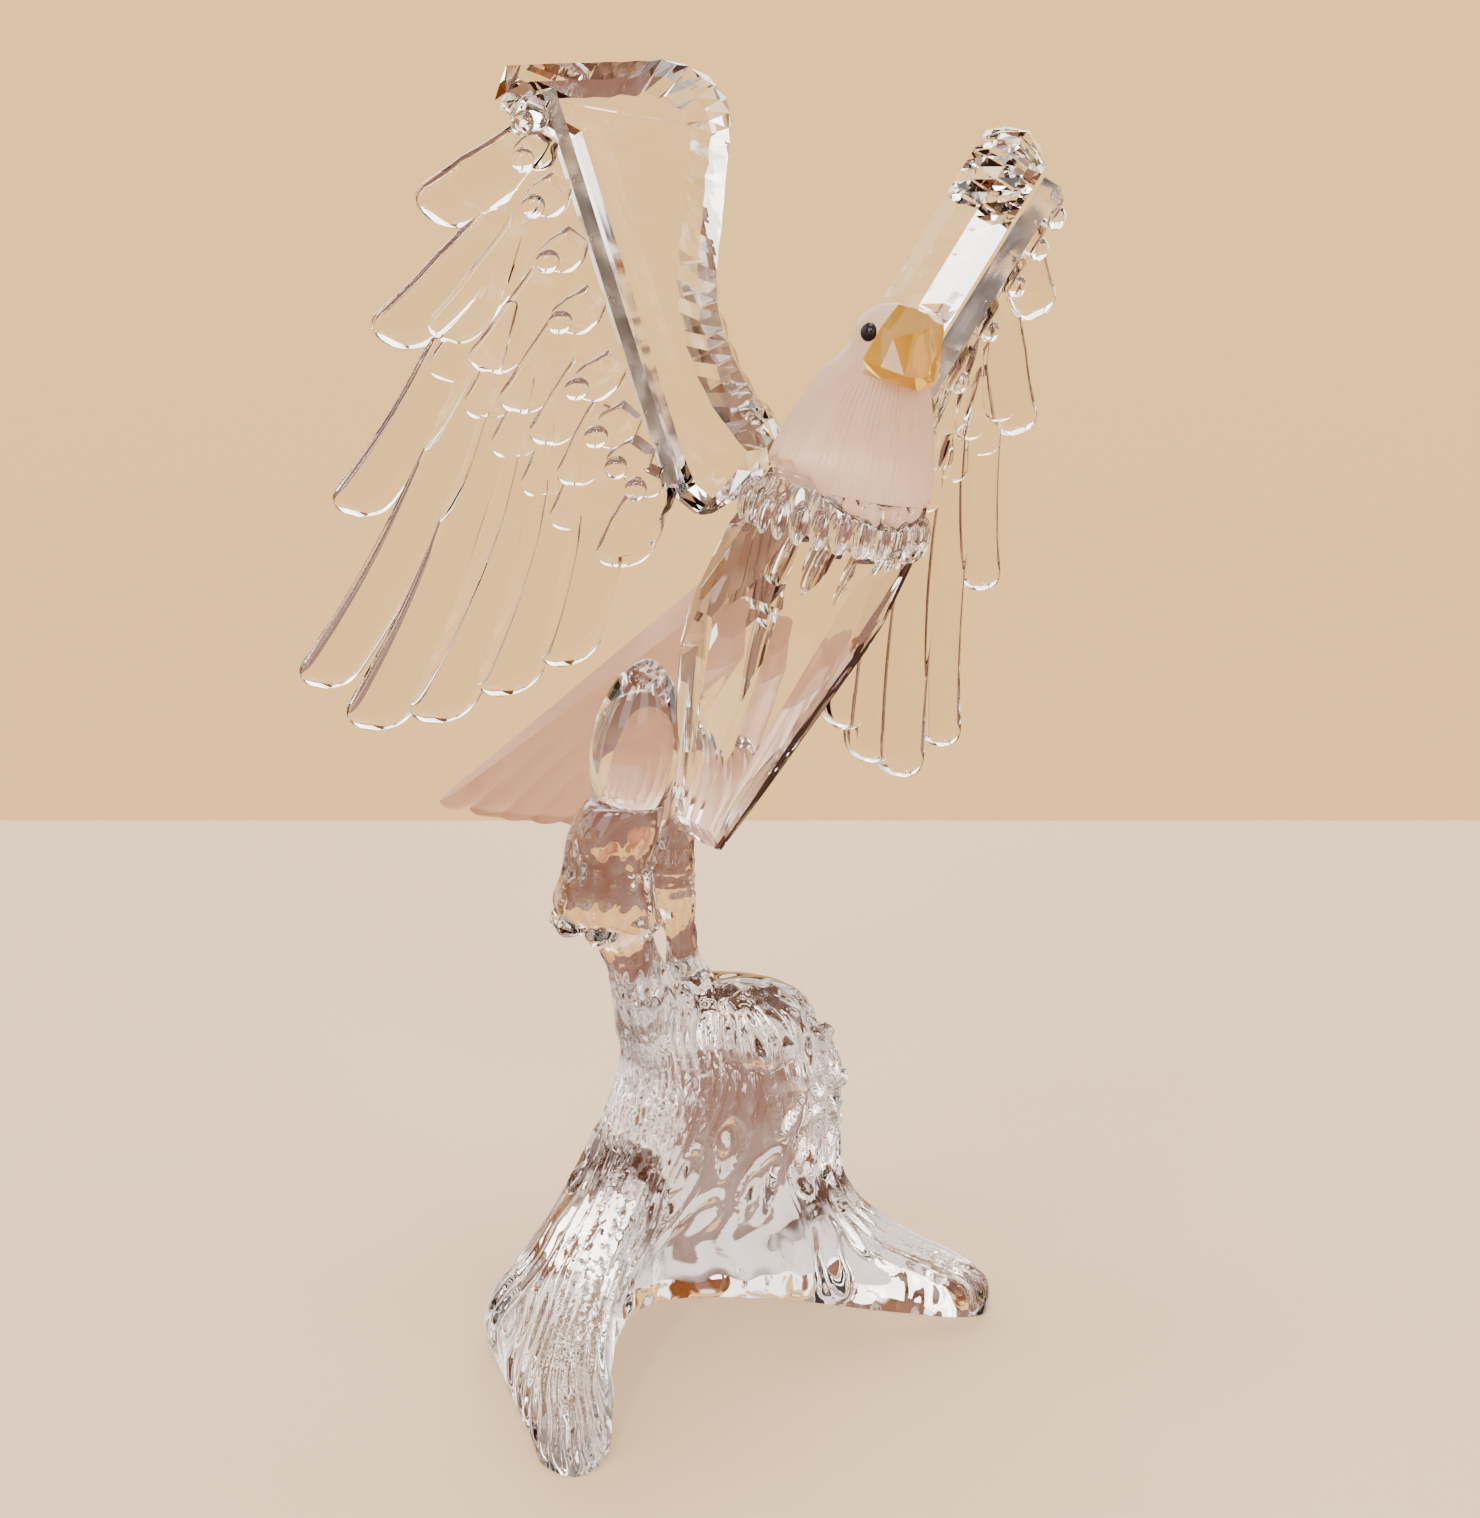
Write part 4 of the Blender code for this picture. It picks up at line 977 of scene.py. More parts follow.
@dataclass
class ArmPlate:
    """Cut plate of a wing's arm, with two columns of brick facets on each side of its ridge.

    Each layer of its edge has a depth, an inset and a phase of its steps. The plain bevels start at
    the last corner of the ridge.
    """

    plan: WingPlan
    thickness: float = 8.8
    bevel: float = 3.2
    step: float = 0.7
    pitch: float = 3.6
    ridge_line: tuple[Pair, ...] = (
        (-9.2, 49.2), (-3.7, 48.4), (2.6, 47.4), (9.4, 46.2), (14.2, 45.2), (17.6, 42.8), (19.4, 39.1),
        (18.8, 35.6), (16.8, 31.2), (14.1, 25.2), (11.6, 20.3), (10.1, 16.4), (9.6, 12.8), (9.9, 9.2),
        (10.6, 4.6), (13.0, 0.2),
    )
    plain_edge: tuple[Pair, ...] = (
        (13.2, -3.2), (10.0, -6.2), (5.4, -8.9), (0.2, -10.8), (-2.6, -7.4), (-2.8, -3.0), (-2.8, 39.0),
        (-9.8, 44.6),
    )
    midplane_gap: float = 0.3
    ridge_samples: int = 640
    brick_corners: tuple[float, ...] = (0.0, 0.08, 0.5, 0.58)
    layers: tuple[Triple, ...] = (
        (0.0, 1.0, 0.0), (0.21, 0.47, 0.5), (0.5, 0.0, 0.0), (0.79, 0.47, 0.5), (1.0, 1.0, 0.0),
    )
    crown_step: float = 0.35
    plain_bevels: tuple[float, ...] = (1.0, 0.8, 0.7, 0.6, 0.5, 0.4, 0.3, 0.3, 0.3)
    step_strength: tuple[Pair, ...] = (
        (0.0, 0.1), (0.2, 0.15), (0.32, 1.2), (0.5, 1.0), (0.56, 0.35), (0.7, 0.3), (0.78, 1.0), (1.0, 0.6),
    )

    def strength(self, share: float) -> float:
        """How deep the steps are at a share of the ridge line.

        Args:
            share: Share of the way along the ridge line.

        Returns:
            The depth, 1 being the full step.
        """
        for (start, low), (end, high) in zip(self.step_strength, self.step_strength[1:]):
            if share <= end:
                return low + (high - low) * (share - start) / (end - start)
        return self.step_strength[-1][1]

    def leading(self) -> list[Vector]:
        """Corners of the bricks along the ridge line, at even steps.

        Returns:
            The corners, both ends included.
        """
        dense = smooth_line([Vector(point) for point in self.ridge_line], self.ridge_samples)
        length = sum((b - a).length for a, b in zip(dense, dense[1:]))
        count = round(length / self.pitch)
        result, walked = [dense[0]], 0.0
        for a, b in zip(dense, dense[1:]):
            span = (b - a).length
            while walked + span >= length / count * len(result) and len(result) < count:
                result.append(a.lerp(b, (length / count * len(result) - walked) / span))
            walked += span
        return [*result, dense[-1]]

    def build(self, matrix: Matrix) -> bpy.types.Object:
        """Right-hand plate. Each layer of its edge has its steps in places of their own.

        Args:
            matrix: The eagle's matrix, to the frame.

        Returns:
            The plate.
        """
        corners = self.leading()
        ridge, shares, ends = [], [], []
        for i, point in enumerate(corners[:-1]):
            for share in self.brick_corners:
                ridge.append(point.lerp(corners[i + 1], share))
                shares.append(share)
                ends.append(self.strength(i / (len(corners) - 2)))
        outline = [*ridge, corners[-1], *(Vector(point) for point in self.plain_edge)]
        rings = []
        for depth, inset, phase in self.layers:
            step = self.step * (self.crown_step if inset == 0 else 1)
            widths = [self.bevel * inset - step * (1 - (share - phase) % 1.0) * fade
                      for share, fade in zip(shares, ends)]
            widths += [self.bevel * inset * bevel for bevel in self.plain_bevels]
            loop = self.inset(outline, widths)
            rings.append([self.plan.arm_point(point.x, point.y, depth * self.thickness) for point in loop])
        arm = Shell.loft(rings).piece("arm", matrix)
        middle = matrix @ Vector((self.midplane_gap / 2, 0, 0))
        ground_flat(arm, middle, matrix.to_3x3() @ Vector((-1, 0, 0)))
        return arm

    @staticmethod
    def inset(outline: Sequence[Vector], distances: Sequence[float]) -> list[Vector]:
        """Move each point of a closed 2D outline inwards by its own distance.

        Args:
            outline: Points of the outline.
            distances: One distance for each point.

        Returns:
            The moved points.
        """
        count = len(outline)
        moved = []
        for i, point in enumerate(outline):
            before, after = outline[i - 1], outline[(i + 1) % count]
            tangent = ((point - before).normalized() + (after - point).normalized()).normalized()
            moved.append(point + Vector((tangent.y, -tangent.x)) * distances[i])
        return moved


@dataclass
class Wings:
    """Both wings: the left ones are mirror images."""

    plan: WingPlan = field(default_factory=WingPlan)

    def build(self) -> None:
        """Build and dress the arm plates and the feather sheets."""
        matrix = STANCE.eagle()
        arm = ArmPlate(self.plan).build(matrix)
        combine(arm, Body().drop(GLUE_GAP, matrix), "DIFFERENCE")
        sheet = FeatherSheet(self.plan).build(matrix)
        back, ahead, plan = matrix.inverted(), matrix.to_3x3() @ self.plan.ahead, self.plan
        grind(sheet, ahead, lambda middle: plan.ahead_of_hinge(back @ middle) > plan.sheet_joint)
        grind(arm, -ahead, lambda middle: plan.ahead_of_hinge(back @ middle) < plan.arm_joint)
        arms = {Side.RIGHT: arm, Side.LEFT: mirror_image(arm, "left_arm", matrix)}
        sheets = {Side.RIGHT: sheet, Side.LEFT: mirror_image(sheet, "left_sheet", matrix)}
        for side in Side:
            word = side.word
            finish_piece(arms[side], f"{word}_arm_plate", CUT_CRYSTAL, [f"{word}_wing_arm"])
            finish_piece(sheets[side], f"{word}_feather_sheet", MOULDED_CRYSTAL,
                         [f"{word}_wing_feathers"], radians(50))


@dataclass
class Body:
    """Cut drop with long diamond facets and a ruff of lobes at its top.

    A section is its height, how far forward its middle lies, and its half width and half depth.
    """

    sections: tuple[Quad, ...] = (
        (1.6, 0.0, 9.6, 10.4), (-3.0, -1.8, 10.6, 11.8), (-10.0, -4.8, 11.4, 12.6),
        (-17.0, -7.5, 11.7, 12.9), (-24.0, -10.0, 10.7, 11.8), (-31.0, -12.4, 8.9, 9.8),
        (-38.0, -14.4, 6.8, 7.8), (-44.0, -16.0, 5.2, 6.0), (-52.0, -17.8, 3.6, 4.4),
    )
    top: float = 1.6
    around: int = 10
    rows: tuple[float, ...] = (-0.6, -6.4, -12.2, -18.0, -23.6, -29.0, -34.2, -39.2, -43.6)
    facet_spread: Pair = (0.02, 1.5)
    block: Pair = (-24.0, 40.0)
    end_place: Triple = (0.0, -18.0, -47.6)
    end_facing: Triple = (0.452, 0.147, -0.88)
    flank_place: Triple = (-8.8, -2.9, -17.0)
    flank_facing: Triple = (-0.5, 0.755, -0.428)
    lobes: int = 26
    lobe_height: float = -2.7
    lobe_inset: float = 0.5
    lobe_sizes: Triple = (1.6, 1.3, 2.9)
    lobe_face: float = 0.6

    def point(self, angle: float, height: float) -> Vector:
        """Point of the smooth drop at an angle round it and a height.

        Args:
            angle: Angle round the drop.
            height: Height in the eagle's axes.

        Returns:
            The point.
        """
        table = self.sections
        if height >= table[0][0]:
            values = table[0][1:]
        else:
            for high, low in zip(table, table[1:]):
                if height >= low[0]:
                    break
            share = min(1.0, (high[0] - height) / (high[0] - low[0]))
            values = [a + (b - a) * share for a, b in zip(high[1:], low[1:])]
        forward, half_width, half_depth = values
        return Vector((half_width * cos(angle), forward + half_depth * sin(angle), height))

    def drop(self, clearance: float, matrix: Matrix) -> bpy.types.Object:
        """Convex drop cut by facet planes. A clearance moves every facet outwards.

        Args:
            clearance: How far out the facets are moved.
            matrix: The eagle's matrix, to the frame.

        Returns:
            The drop.
        """
        height, size = self.block
        middle = self.point(0.0, height)
        middle.x = 0.0
        square = [(-1, -1), (1, -1), (1, 1), (-1, 1)]
        rings = [[middle + Vector((x, y, z)) * size for x, y in square] for z in (-1, 1)]
        drop = Shell.loft(rings).piece("drop", matrix)
        planes = [(Vector((0, 0, self.top)), Vector((0, 0, 1)))]
        wide, high = self.facet_spread
        for row, height in enumerate(self.rows):
            for step in range(self.around):
                angle = 2 * pi * (step + 0.5 * (row % 2)) / self.around
                across = self.point(angle + wide, height) - self.point(angle - wide, height)
                along = self.point(angle, height + high) - self.point(angle, height - high)
                planes.append((self.point(angle, height), across.cross(along).normalized()))
        planes.append((Vector(self.end_place), Vector(self.end_facing).normalized()))
        planes.append((Vector(self.flank_place), Vector(self.flank_facing).normalized()))
        for point, normal in planes:
            ground_flat(drop, matrix @ (point + normal * clearance), matrix.to_3x3() @ normal)
        return drop

    def ruff(self, matrix: Matrix) -> list[Matrix]:
        """Places of the ruff's lobes.

        Args:
            matrix: The eagle's matrix, to the frame.

        Returns:
            One matrix for each lobe, in the frame.
        """
        places = []
        for i in range(self.lobes):
            angle = 2 * pi * (i + 0.5) / self.lobes
            outwards = Vector((cos(angle), sin(angle), 0))
            centre = self.point(angle, self.lobe_height) - outwards * self.lobe_inset
            turn = Matrix.Rotation(angle, 4, "Z")
            places.append(matrix @ Matrix.Translation(centre) @ turn)
        return places

    def build(self) -> None:
        """Build and dress the body."""
        matrix = STANCE.eagle()
        body = self.drop(0.0, matrix)
        ruff = LobeRow.build("ruff", self.ruff(matrix), self.lobe_sizes, CUT_CRYSTAL)
        combine(body, ruff, "UNION", Solver.FAST)
        combine(body, Head().solid(GLUE_GAP).piece("seat", matrix), "DIFFERENCE")
        finish_piece(body, "breast_drop", CUT_CRYSTAL, ["body"])
        for face in body.data.polygons:
            face.use_smooth = face.area < self.lobe_face * MM * MM


@dataclass
class Head:
    """Frosted head and neck cape in one piece, with seats for the beak and the eyes."""

    foot: Triple = (0.0, 0.0, 3.6)
    height: float = 21.2
    profile: tuple[Triple, ...] = (
        (0.0, 9.9, 0.0), (0.042, 10.3, 0.0), (0.236, 9.3, 0.3), (0.425, 7.9, 0.9), (0.566, 6.6, 1.5),
        (0.66, 5.3, 2.0), (0.745, 4.6, 2.4), (0.849, 4.35, 2.7), (0.925, 3.4, 2.8), (0.976, 1.9, 2.9),
    )
    cape_top: float = 0.755
    cape_drop: float = 5.0
    cape_back_drop: float = 3.0
    flutes: int = 18
    flute_depth: float = 0.35
    lines: int = 76
    line_depth: float = 0.16
    line_scale: Pair = (6.0, 5.0)
    line_strength: float = 0.9
    line_sway: float = 0.6
    line_fade: Pair = (0.86, 0.5)
    scallop: float = 0.5
    scallop_power: int = 3
    sides: int = 304
    profile_steps: int = 64
    eye_sides: int = 40
    eye_radius: float = 1.15
    eye_depth: float = 0.65
    eye_turn: float = radians(21)
    eye_place: Triple = (4.1, 4.1, 0.816)
    eye_seat: float = 0.04

    def solid(self, clearance: float = 0.0) -> Shell:
        """Cape and head as one form. A clearance makes the seat that it is glued on.

        Args:
            clearance: How far the form is grown on every side, for the seat of its neighbour's glue.

        Returns:
            The closed form.
        """
        rings = []
        lines = smooth_line([Vector(row) for row in self.profile], self.profile_steps)
        foot = Vector(self.foot)
        for row, (share, radius, shift) in enumerate(lines):
            fade = max(0.0, 1 - share / self.cape_top)
            ring = []
            for step in range(self.sides):
                angle = 2 * pi * step / self.sides
                reach = radius + clearance + self.flute_depth * fade * (cos(self.flutes * angle) - 1) / 2
                drop = (self.cape_drop if sin(angle) > 0 else self.cape_back_drop) * sin(angle) ** 2 * fade
                if clearance == 0:
                    reach += self.striation(angle, share)
                    wave = abs(cos(self.flutes * angle / 2)) - 1
                    drop += self.scallop * wave * fade ** self.scallop_power
                base = clearance if row == 0 else 0.0
                ring.append(foot + Vector((reach * cos(angle), reach * sin(angle) + shift,
                                           self.height * share - drop - base)))
            rings.append(ring)
        return Shell.loft(rings, foot - Vector((0, 0, clearance)),
                          foot + Vector((0, self.profile[-1][2], self.height)))

    def striation(self, angle: float, share: float) -> float:
        """Depth of the fine lines that run down the cape, uneven from one to the next.

        Args:
            angle: Angle round the head.
            share: Share of its height.

        Returns:
            The depth, below 0 where a line is cut.
        """
        wide, high = self.line_scale
        place = Vector((cos(angle) * wide, sin(angle) * wide, share * high))
        strength = noise.noise(place) + self.line_strength
        sway = self.line_sway * noise.noise(Vector((angle * 3, share * 2, 0)))
        line = abs(sin(self.lines * angle / 2 + sway)) - 1
        return line * self.line_depth * strength * eased(share, *self.line_fade)

    def eye(self, side: Side, clearance: float = 0.0) -> Shell:
        """Lens-shaped eye, turned to look out of the head.

        Args:
            side: Side of the head.
            clearance: How far the form is grown on every side, for the seat of its neighbour's glue.

        Returns:
            The closed form.
        """
        x, y, share = self.eye_place
        place = Vector(self.foot) + Vector((x * side.value, y, share * self.height))
        sizes = [size + clearance for size in (self.eye_depth, self.eye_radius, self.eye_radius)]
        turn = Matrix.Rotation(self.eye_turn * side.value, 3, "Z")
        return ellipsoid(place, sizes, turn, self.eye_sides)

    def build(self) -> None:
        """Build and dress the head, the beak and the eyes."""
        matrix = STANCE.eagle()
        head = self.solid().piece("head", matrix)
        beak = Beak()
        combine(head, beak.solid(GLUE_GAP).piece("seat", matrix), "DIFFERENCE")
        for side in Side:
            combine(head, self.eye(side, self.eye_seat).piece("socket", matrix), "DIFFERENCE")
            eye = self.eye(side).piece("eye", matrix)
            finish_piece(eye, f"{side.word}_eye_bead", BLACK_GLASS, [f"{side.word}_eye"], radians(60))
        finish_piece(head, "frosted_head", FROSTED_CRYSTAL, ["head"], radians(40))
        finish_piece(beak.facetted(matrix), "amber_beak", AMBER_CRYSTAL, ["beak"])


@dataclass
class Beak:
    """Beak ground as a wedge: widest at its gape, with a high ridge and an upright front.

    A station has its share of the length and those of the gape's width, the ridge's width and the
    height there. A facet has a place, in shares of the beak's sizes, and the way that it faces.
    """

    root: Triple = (0.0, 5.8, 16.32)
    height: float = 8.6
    length: float = 7.6
    gape_half_width: float = 5.2
    ridge_half_width: float = 1.9
    sole_drop: float = 1.0
    stations: tuple[Quad, ...] = (
        (0.0, 1.0, 1.0, 0.99), (0.35, 0.8, 1.0, 1.0), (0.7, 0.46, 0.74, 0.97), (0.93, 0.17, 0.42, 0.88),
        (1.0, 0.07, 0.2, 0.76),
    )
    corners: tuple[Pair, ...] = ((0.2, 0.0), (0.0, 0.17), (0.5, 0.66), (1.0, 1.0))
    facets: tuple[tuple[Triple, Triple], ...] = (
        ((0.78, 0.62, 0.3), (0.72, 0.6, -0.12)), ((0.42, 0.84, 0.45), (0.5, 0.85, 0.15)),
        ((0.62, 0.6, 0.08), (0.45, 0.5, -0.75)), ((0.3, 0.9, 0.1), (0.3, 0.75, -0.6)),
        ((0.6, 0.3, 0.62), (0.86, 0.3, 0.35)), ((0.25, 0.72, 0.97), (0.35, 0.5, 0.8)),
        ((0.4, 0.2, 0.98), (0.45, 0.12, 0.88)), ((0.9, 0.2, 0.12), (0.8, 0.1, -0.55)),
    )

    def solid(self, clearance: float = 0.0) -> Shell:
        """Plain wedge. A clearance makes the seat that it is glued in.

        Args:
            clearance: How far the form is grown on every side, for the seat of its neighbour's glue.

        Returns:
            The closed form.
        """
        rings = []
        for share, gape, ridge, rise in self.stations:
            low_width, high_width = self.gape_half_width * gape, self.ridge_half_width * ridge
            sole = -self.sole_drop * share
            half = []
            for between, level in self.corners:
                width = low_width + (high_width - low_width) * between + clearance
                height = sole + (self.height * rise - sole) * level + clearance * (2 * level - 1)
                half.append((width, height))
            outline = half + [(-width, height) for width, height in half[::-1]]
            forward = self.length * share - clearance
            rings.append([Vector(self.root) + Vector((width, forward, height))
                          for width, height in outline])
        return Shell.loft(rings)

    def facetted(self, matrix: Matrix) -> bpy.types.Object:
        """Wedge with small facets ground on both of its sides.

        Args:
            matrix: The eagle's matrix, to the frame.

        Returns:
            The beak.
        """
        beak = self.solid().piece("beak", matrix)
        sizes = Vector((self.gape_half_width, self.length, self.height))
        for place, facing in self.facets:
            for side in Side:
                flip = Vector((side.value, 1, 1))
                point = Vector(self.root) + Vector(place) * sizes * flip
                normal = (Vector(facing) * flip).normalized()
                ground_flat(beak, matrix @ point, matrix.to_3x3() @ normal)
        return beak


@dataclass
class Tail:
    """Frosted fan of ridged tail feathers with a scalloped end."""

    root: Triple = (0.0, -15.5, -13.5)
    end: Triple = (0.0, -60.0, -58.0)
    root_half_width: float = 5.0
    end_half_width: float = 17.5
    root_thickness: float = 6.4
    end_thickness: float = 2.2
    feathers: int = 7
    ridge: float = 0.7
    ridge_powers: Pair = (0.8, 0.5)
    scallop: float = 1.4
    scallop_powers: Pair = (0.7, 6.0)
    rounding: float = 2.6
    end_thinning: float = 0.6
    thinning_start: float = 0.96
    crown_fall: float = 0.35
    rows: int = 48
    per_feather: int = 14

    def build(self) -> None:
        """Build and dress the tail."""
        matrix = STANCE.eagle()
        count = self.feathers * self.per_feather
        scallop_round, scallop_start = self.scallop_powers
        ridge_round, ridge_start = self.ridge_powers
        root, run = Vector(self.root), Vector(self.end) - Vector(self.root)
        ahead = run.normalized()
        normal = Vector((1, 0, 0)).cross(ahead)
        normal = normal if normal.z > 0 else -normal
        rings = []
        for row in range(self.rows + 1):
            share = row / self.rows
            half_width = self.root_half_width + (self.end_half_width - self.root_half_width) * share
            thickness = self.root_thickness + (self.end_thickness - self.root_thickness) * share
            thickness *= 1 - self.end_thinning * eased(share, self.thinning_start, 1.0)
            upper, lower = [], []
            for i in range(count + 1):
                place = 2 * i / count - 1
                wave = abs(sin(pi * self.feathers * (place + 1) / 2))
                stretch = self.scallop * (wave ** scallop_round - 1) * share ** scallop_start
                stretch -= self.rounding * place ** 2 * share
                centre = root + run * share + ahead * stretch + Vector((half_width * place, 0, 0))
                crown = thickness / 2 * (1 - self.crown_fall * place * place)
                relief = self.ridge * share ** ridge_start * (wave ** ridge_round - 1)
                upper.append(centre + normal * (crown + relief))
                lower.append(centre - normal * crown)
            rings.append(upper + lower[::-1])
        tail = Shell.loft(rings).piece("tail", matrix)
        combine(tail, Body().drop(GLUE_GAP, matrix), "DIFFERENCE")
        finish_piece(tail, "tail_fan", FROSTED_CRYSTAL, ["tail"], radians(35))


@dataclass
class Thigh:
    """Polished drop that stands on a leg, with a flat facet on its front."""

    foot: Triple
    tilt: Pair
    size: float
    profile: tuple[Pair, ...] = (
        (0.0, 4.5), (0.08, 5.1), (0.3, 5.7), (0.55, 5.4), (0.78, 4.1), (0.92, 2.4), (0.985, 0.9),
    )
    height: float = 18.6
    sides: int = 96
    rings: int = 40

    def solid(self, clearance: float = 0.0) -> Shell:
        """Drop in layout millimetres. A clearance makes the seat for it.

        Args:
            clearance: How far the form is grown on every side, for the seat of its neighbour's glue.

        Returns:
            The closed form.
        """
        turn = Matrix.Rotation(self.tilt[1], 4, "Y") @ Matrix.Rotation(self.tilt[0], 4, "X")
        place = Matrix.Translation(self.foot) @ turn
        rings = []
        lines = smooth_line([Vector(row) for row in self.profile], self.rings)
        angles = [2 * pi * step / self.sides for step in range(self.sides)]
        for row, (share, radius) in enumerate(lines):
            reach = radius * self.size + clearance
            height = self.height * share * self.size - (clearance if row == 0 else 0.0)
            rings.append([place @ Vector((reach * cos(angle), reach * sin(angle), height))
                          for angle in angles])
        return Shell.loft(rings, None, place @ Vector((0, 0, self.height * self.size)))

    def build(self, side: Side) -> None:
        """Build and dress the thigh.

        Args:
            side: Side of the eagle.
        """
        thigh = self.solid().piece("thigh", STANCE.layout())
        combine(thigh, Body().drop(GLUE_GAP, STANCE.eagle()), "DIFFERENCE")
        finish_piece(thigh, f"{side.word}_thigh_drop", CUT_CRYSTAL, [f"{side.word}_thigh"], radians(30))


THIGHS = {
    Side.RIGHT: Thigh((-19.1, 3.6, 77.8), (radians(4), radians(9)), 1.0),
    Side.LEFT: Thigh((-9.7, 15.6, 74.0), (radians(-4), radians(16)), 0.8),
}


@dataclass(frozen=True)
class Bark:
    """Relief of the stump: flutes and nested drops on its side, fine lines on its stems.

    A weight or a share is a height of the relief. Of the pairs, a taper, an edge or a start is the
    two ends of a smooth step.
    """

    flutes: int = 42
    sway_scales: Pair = (0.05, 0.12)
    sway_shares: Pair = (0.9, 0.35)
    flute_sway: float = 1.5
    drop_lanes: int = 22
    drop_pitch: float = 13.0
    drop_sway: Pair = (0.9, 0.25)
    drop_stagger: float = 0.618
    drop_pinch: Pair = (0.27, 0.19)
    drop_taper: Pair = (-0.45, 0.3)
    drop_half: float = 0.47
    drop_edge: Pair = (1.05, 0.85)
    drop_weights: Pair = (2.3, 0.3)
    drop_start: Pair = (11.0, 20.0)
    patch_scale: float = 0.045
    patch_bias: float = 0.25
    patch_edge: Pair = (-0.15, 0.25)
    ripple: Triple = (0.12, 0.8, 5.0)
    stem_lines: int = 14
    stem_line_sway: float = 3.0
    stem_waves: Triple = (1.1, 5.0, 2.0)
    stem_scales: Pair = (0.22, 0.35)
    stem_weights: Triple = (0.42, 0.2, 0.6)

    def side(self, around: float, point: Vector) -> float:
        """Height of the bark at a place of the stump's side: flowing flutes and nested drops.

        Args:
            around: Share of the way round the stump, along its matching flow lines.
            point: The place, which steers the bends of the flow.

        Returns:
            Height, mostly between -1 and 1, and up to 2.6 either way in the drops.
        """
        slow, fast = self.sway_scales
        sway = self.sway_shares[0] * noise.noise(point * slow)
        sway += self.sway_shares[1] * noise.noise(point * fast + Vector((7, 3, 5)))
        wave = cos(2 * pi * (around * self.flutes + self.flute_sway * sway))
        lane = around * self.drop_lanes + self.drop_sway[0] * sway
        across = lane % 1 - 0.5
        stagger = int(lane // 1) * self.drop_stagger + self.drop_sway[1] * sway
        cell = (point.z / self.drop_pitch + stagger) % 1 - 0.5
        pinch = self.drop_pinch[0] + self.drop_pinch[1] * eased(cell, *self.drop_taper)
        loop = sqrt((across / pinch) ** 2 + (cell / self.drop_half) ** 2)
        nested = cos(2 * pi * loop) * eased(loop, *self.drop_edge)
        patch = noise.noise(point * self.patch_scale + Vector((2, 9, 4))) + self.patch_bias
        share = eased(patch, *self.patch_edge) * eased(point.z, *self.drop_start)
        drops = self.drop_weights[0] * nested + self.drop_weights[1] * wave
        rise, pace, bend = self.ripple
        ripple = rise * sin(pace * point.z + bend * sway)
        return (1 - share) * wave + share * drops + ripple

    def stem(self, angle: float, point: Vector) -> float:
        """Height of the fine upright lines and small waves, at an angle round a leg or a stem.

        Args:
            angle: Angle round the stem.
            point: The place, in the layout.

        Returns:
            Height, between about -1 and 1.
        """
        slow, fast = self.stem_scales
        sway = noise.noise(point * slow)
        upright = cos(self.stem_lines * angle + self.stem_line_sway * sway)
        pace, bend, slant = self.stem_waves
        across = sin(pace * point.z + bend * sway + slant * sin(2 * angle))
        parts = (upright, across, noise.noise(point * fast))
        return sum(weight * part for weight, part in zip(self.stem_weights, parts))


